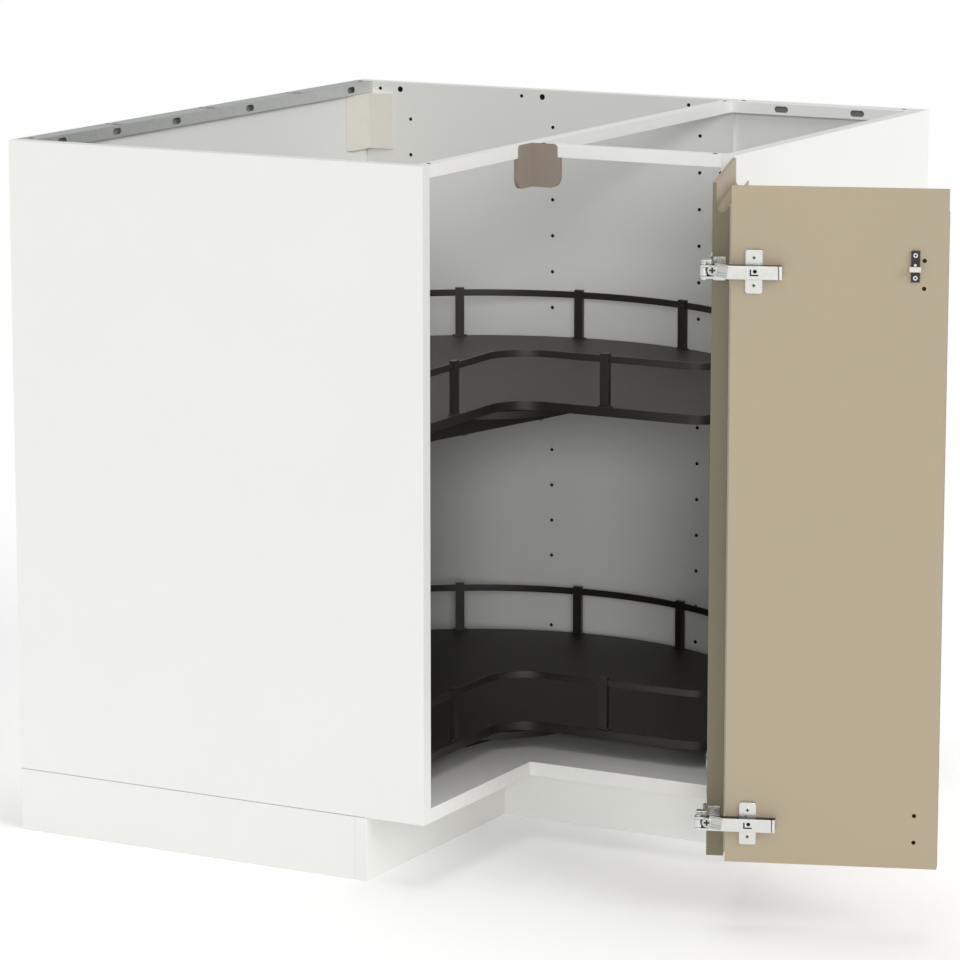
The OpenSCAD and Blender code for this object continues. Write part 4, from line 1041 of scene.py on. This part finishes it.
def hinge_hoods():
    """Ribbed hoods, greyed as painted reflection, over the arms' ears with their cap screws, and
    black blocks inside the arms as painted shadow.
    """
    long, wall, ribs_end = 15.5, 1.2, 14.5
    slope = Matrix.Rotation(math.radians(-8), 4, "Y") @ Matrix.Rotation(math.radians(-4.1), 4, "Z")
    bm = bmesh.new()
    for z in HINGE_Z:
        hood = hinge_place(z) @ at(2.5, ARM_TOP, 0) @ slope
        add_box(bm, hood, (0, 0, -7), (long, wall, 8.6))
        for middle, wide in ((-5.2, 1.4), (-2, 1.2), (6.6, 1.4)):
            add_box(bm, hood, (1, 1, middle - wide / 2), (ribs_end, 2, middle + wide / 2))
        # A black block inside the arm, put where there is only shadow
        add_box(bm, hinge_place(z), (-36, 2.6, -5.5), (-19, 11.3, 5.5), PAINTED_SHADOW)
    round_edges(bm, bm.edges, 0.3)
    bm.normal_update()
    # Plated faces that look up or down get the dark side finish: painted shade and reflection
    for face in bm.faces:
        if face.material_index == PLATED and abs(face.normal.z) > 0.8:
            face.material_index = SHADED
    head, rise, shank, length = 5.7, 1.4, 2, 1
    for z in HINGE_Z:
        cap = hinge_place(z) @ at(20, 13, 2) @ Z_TO_Y
        add_screw(bm, cap, head, rise, shank, length)
    return bm


def hinge_housings():
    """Sheet housings of the fold hinges round the hinged leaf's edge."""
    bm = bmesh.new()
    for z in HINGE_Z:
        add_box(bm, hinge_place(z), (8, -24, -14.5), (22.4, -22, 13))
        add_box(bm, hinge_place(z), (22.2, -10, -6), (34, -0.6, 12))
        add_box(bm, hinge_place(z), (22.2, -27, -6), (25.4, -9, 9))
    round_edges(bm, bm.edges, 0.6)
    return bm


def hinge_plate_screws():
    """Two screws on each fold hinge's plate."""
    head, rise, shank, length = 3.4, 0.5, 2.4, 11
    bm = bmesh.new()
    for z in HINGE_Z:
        for side in (-16, 16):
            place = hinge_place(z) @ at(-26.6, 2.5, side) @ Z_TO_Y
            add_screw(bm, place, head, rise, shank, length)
    return bm


class CABINET_OT_hinges(bpy.types.Operator):
    """Make the cabinet hinges and the fold hinges"""

    bl_idname = "cabinet.hinges"
    bl_label = "Hinges"

    def execute(self, context):
        look = context.scene.cabinet_metal
        nickel = plated_steel("Nickel-plated steel", look.nickel, rough=0.28)
        repaint(
            nickel,
            "cabinet_hinge_plates",
            "cabinet_hinge_arms",
            "cabinet_hinge_pins",
            "cabinet_hinge_screws",
            "cabinet_hinge_links",
            "hinge_cups",
            "cup_screws",
            "fold_hinge_pins",
        )
        # Dark nickel for the sides: painted shade and reflection
        sides = plated_steel("Nickel-plated channel sides", linear("#403f39"), rough=0.4)
        # Black for the openings: painted shadow
        black = plated_steel("Black painted shadow in the hinge openings", linear("#242422"), rough=0.5)
        finishes = (nickel, sides, black)
        for node in ("fold_hinge_plates", "fold_hinge_arms"):
            bm = pressed_hinge_sheet(node)
            new_piece(node + "_pressed", bm, finishes, "folding_leaf", node)
        # A greyer nickel for the hoods: painted reflection of darker surroundings
        grey = plated_steel("Nickel-plated hood, greyed as painted reflection", linear("#c4c4be"), rough=0.3)
        bm = hinge_hoods()
        new_piece("fold_hinge_hoods", bm, (grey, sides, black), "folding_leaf")
        new_piece("fold_hinge_housings", hinge_housings(), (nickel,), "hinged_leaf")
        bm = hinge_plate_screws()
        name, node = "fold_hinge_plate_screws", "fold_hinge_screws"
        new_piece(name, bm, finishes, "folding_leaf", node)
        return {"FINISHED"}


class CABINET_OT_catch(bpy.types.Operator):
    """Make the roller catch and its strike"""

    bl_idname = "cabinet.catch"
    bl_label = "Catch"

    def execute(self, context):
        leaf, catch = "folding_leaf", catch_place()
        black = powder_coat("Black catch plate", linear("#1d1e1d"), rough=0.45)
        node = "catch_plate"
        bm = softened(node, 0.7, shortest=1.0)
        new_piece(node + "_painted", bm, (black,), leaf, node)

        white = moulded_plastic("White roller plastic", linear("#d9d6cf"))
        radius, length = 3.2, 13.4
        bm = bmesh.new()
        add_disc(bm, catch @ at(-length / 2, 9.1, -2.5) @ Z_TO_X, radius, length)
        round_edges(bm, convex_edges(bm, 0.1), 0.8, 3)
        node = "catch_roller"
        new_piece(node + "_moulded", bm, (white,), "roller", node)
        radius, length = 1.7, 2.2
        bm = bmesh.new()
        add_disc(bm, catch @ at(0, 8.4, 2.5) @ Z_TO_Y, radius, length)
        round_edges(bm, convex_edges(bm, 0.1), 0.8, 3)
        new_piece("catch_stud", bm, (white,), leaf)

        zinc = plated_steel("Zinc-plated strike", linear("#c4c6c6"), rough=0.3)
        bright = plated_steel("Bright screw steel", linear("#ebebe9"), rough=0.25)
        # The screws' cross recesses are dark as painted shade
        recess = plated_steel("Catch screw recess, painted shade", linear("#20201f"), rough=0.5)
        repaint(zinc, "catch_strike")
        head, rise, shank, length = 2.6, 1, 1.4, 11
        bm = bmesh.new()
        for side in (-13, 13):
            add_screw(bm, catch @ at(0, 3, side) @ Z_TO_Y, head, rise, shank, length)
        name, node = "catch_plate_screws", "catch_screws"
        new_piece(name, bm, (bright, recess), leaf, node)
        return {"FINISHED"}


# Stage


def add_camera(scene):
    """Adds the camera and makes it the scene's."""
    lens = bpy.data.cameras.new("Studio camera")
    lens.lens = LENS
    lens.sensor_width = 36
    lens.clip_end = 100
    camera = bpy.data.objects.new("Studio camera", lens)
    scene.collection.objects.link(camera)
    camera.location = CAMERA_PLACE
    camera.rotation_euler = (math.radians(90 - CAMERA_DOWN), 0, math.radians(CAMERA_TURN))
    scene.camera = camera


def add_floor(scene, colour, glow):
    """Adds the floor, painted matt white and lit a little from below."""
    bm = bmesh.new()
    bmesh.ops.create_grid(bm, x_segments=1, y_segments=1, size=50)
    mesh = bpy.data.meshes.new("Studio floor")
    bm.to_mesh(mesh)
    bm.free()
    material, tree, mm = empty_material("Matt white floor")
    soft = add_node(tree, "ShaderNodeTexNoise", {"Scale": 1 / 400, "Detail": 2}, {"Vector": mm})
    colours = add_node(tree, "ShaderNodeMix", tints(colour, 0.01), {0: soft.outputs["Fac"]})
    surface = add_node(
        tree,
        "ShaderNodeBsdfPrincipled",
        {"Roughness": 0.9, "Emission Color": (1, 1, 1, 1), "Emission Strength": glow},
        {"Base Color": colours.outputs[2]},
    )
    add_node(tree, "ShaderNodeOutputMaterial", None, {"Surface": surface.outputs[0]})
    mesh.materials.append(material)
    floor = bpy.data.objects.new("Studio floor", mesh)
    scene.collection.objects.link(floor)


def add_surroundings(scene, light, backdrop):
    """Adds white surroundings: the camera sees a bright backdrop, the object a dimmer light."""
    world = bpy.data.worlds.new("White studio")
    world.use_nodes = True
    sky = world.node_tree
    background = sky.nodes["Background"]
    background.inputs["Color"].default_value = (1, 1, 1, 1)
    path = add_node(sky, "ShaderNodeLightPath")
    levels = {"To Min": light, "To Max": backdrop}
    seen = {"Value": path.outputs["Is Camera Ray"]}
    strength = add_node(sky, "ShaderNodeMapRange", levels, seen)
    sky.links.new(strength.outputs["Result"], background.inputs["Strength"])
    scene.world = world


class CABINET_OT_stage(bpy.types.Operator):
    """Set the floor, the light and the camera"""

    bl_idname = "cabinet.stage"
    bl_label = "Stage"

    def execute(self, context):
        scene = context.scene
        look = scene.cabinet_stage
        scene.view_settings.view_transform = "Standard"
        add_camera(scene)
        add_floor(scene, look.floor, look.glow)
        add_surroundings(scene, look.world, look.backdrop)

        # Each softbox's spread, and the direction and height that it shines from, in degrees
        for name, strength, wide, azimuth, height in (
            ("Top softbox", look.top, 36, 150, 84),
            ("Front softbox", look.front, 12, -61.5, 12),
            ("Right softbox", look.right, 30, -15, 26),
        ):
            data = bpy.data.lights.new(name, "SUN")
            data.energy = strength
            data.angle = math.radians(wide)
            light = bpy.data.objects.new(name, data)
            scene.collection.objects.link(light)
            turn = Matrix.Rotation(math.radians(azimuth), 3, "Z")
            towards = turn @ Matrix.Rotation(math.radians(-height), 3, "Y") @ Vector((1, 0, 0))
            light.rotation_euler = towards.to_track_quat("Z", "Y").to_euler()
        return {"FINISHED"}


# Panel and registration


class CABINET_PT_panel(bpy.types.Panel):
    """Corner cabinet pieces and finishes"""

    bl_idname = "CABINET_PT_panel"
    bl_label = "Corner cabinet"
    bl_space_type = "VIEW_3D"
    bl_region_type = "UI"
    bl_category = "Corner Cabinet"

    def draw(self, context):
        for group in GROUPS:
            look = getattr(context.scene, group)
            box = self.layout.box()
            for key in look.bl_rna.properties.keys():
                if key not in ("name", "rna_type"):
                    box.prop(look, key)
        for operator in OPERATORS:
            self.layout.operator(operator.bl_idname)


GROUPS = {
    "cabinet_boards": CabinetBoards,
    "cabinet_metal": CabinetMetal,
    "cabinet_plastic": CabinetPlastic,
    "cabinet_trays": CabinetTrays,
    "cabinet_doors": CabinetDoors,
    "cabinet_stage": CabinetStage,
}
OPERATORS = (
    CABINET_OT_stage,
    CABINET_OT_boards,
    CABINET_OT_rails,
    CABINET_OT_corner_pieces,
    CABINET_OT_legs,
    CABINET_OT_turntables,
    CABINET_OT_trays,
    CABINET_OT_galleries,
    CABINET_OT_doors,
    CABINET_OT_hinges,
    CABINET_OT_catch,
)


def register():
    """Registers the properties, the operators and the panel."""
    for name, group in GROUPS.items():
        bpy.utils.register_class(group)
        setattr(bpy.types.Scene, name, bpy.props.PointerProperty(type=group))
    for operator in OPERATORS:
        bpy.utils.register_class(operator)
    bpy.utils.register_class(CABINET_PT_panel)


def unregister():
    """Takes the panel, the operators and the properties away again."""
    bpy.utils.unregister_class(CABINET_PT_panel)
    for operator in reversed(OPERATORS):
        bpy.utils.unregister_class(operator)
    for name, group in reversed(GROUPS.items()):
        delattr(bpy.types.Scene, name)
        bpy.utils.unregister_class(group)


def main():
    """Builds the whole scene."""
    register()
    bpy.ops.cabinet.stage()
    bpy.ops.cabinet.boards()
    bpy.ops.cabinet.rails()
    bpy.ops.cabinet.corner_pieces()
    bpy.ops.cabinet.legs()
    bpy.ops.cabinet.turntables()
    bpy.ops.cabinet.trays()
    bpy.ops.cabinet.galleries()
    bpy.ops.cabinet.doors()
    bpy.ops.cabinet.hinges()
    bpy.ops.cabinet.catch()


if __name__ == "__main__":
    main()
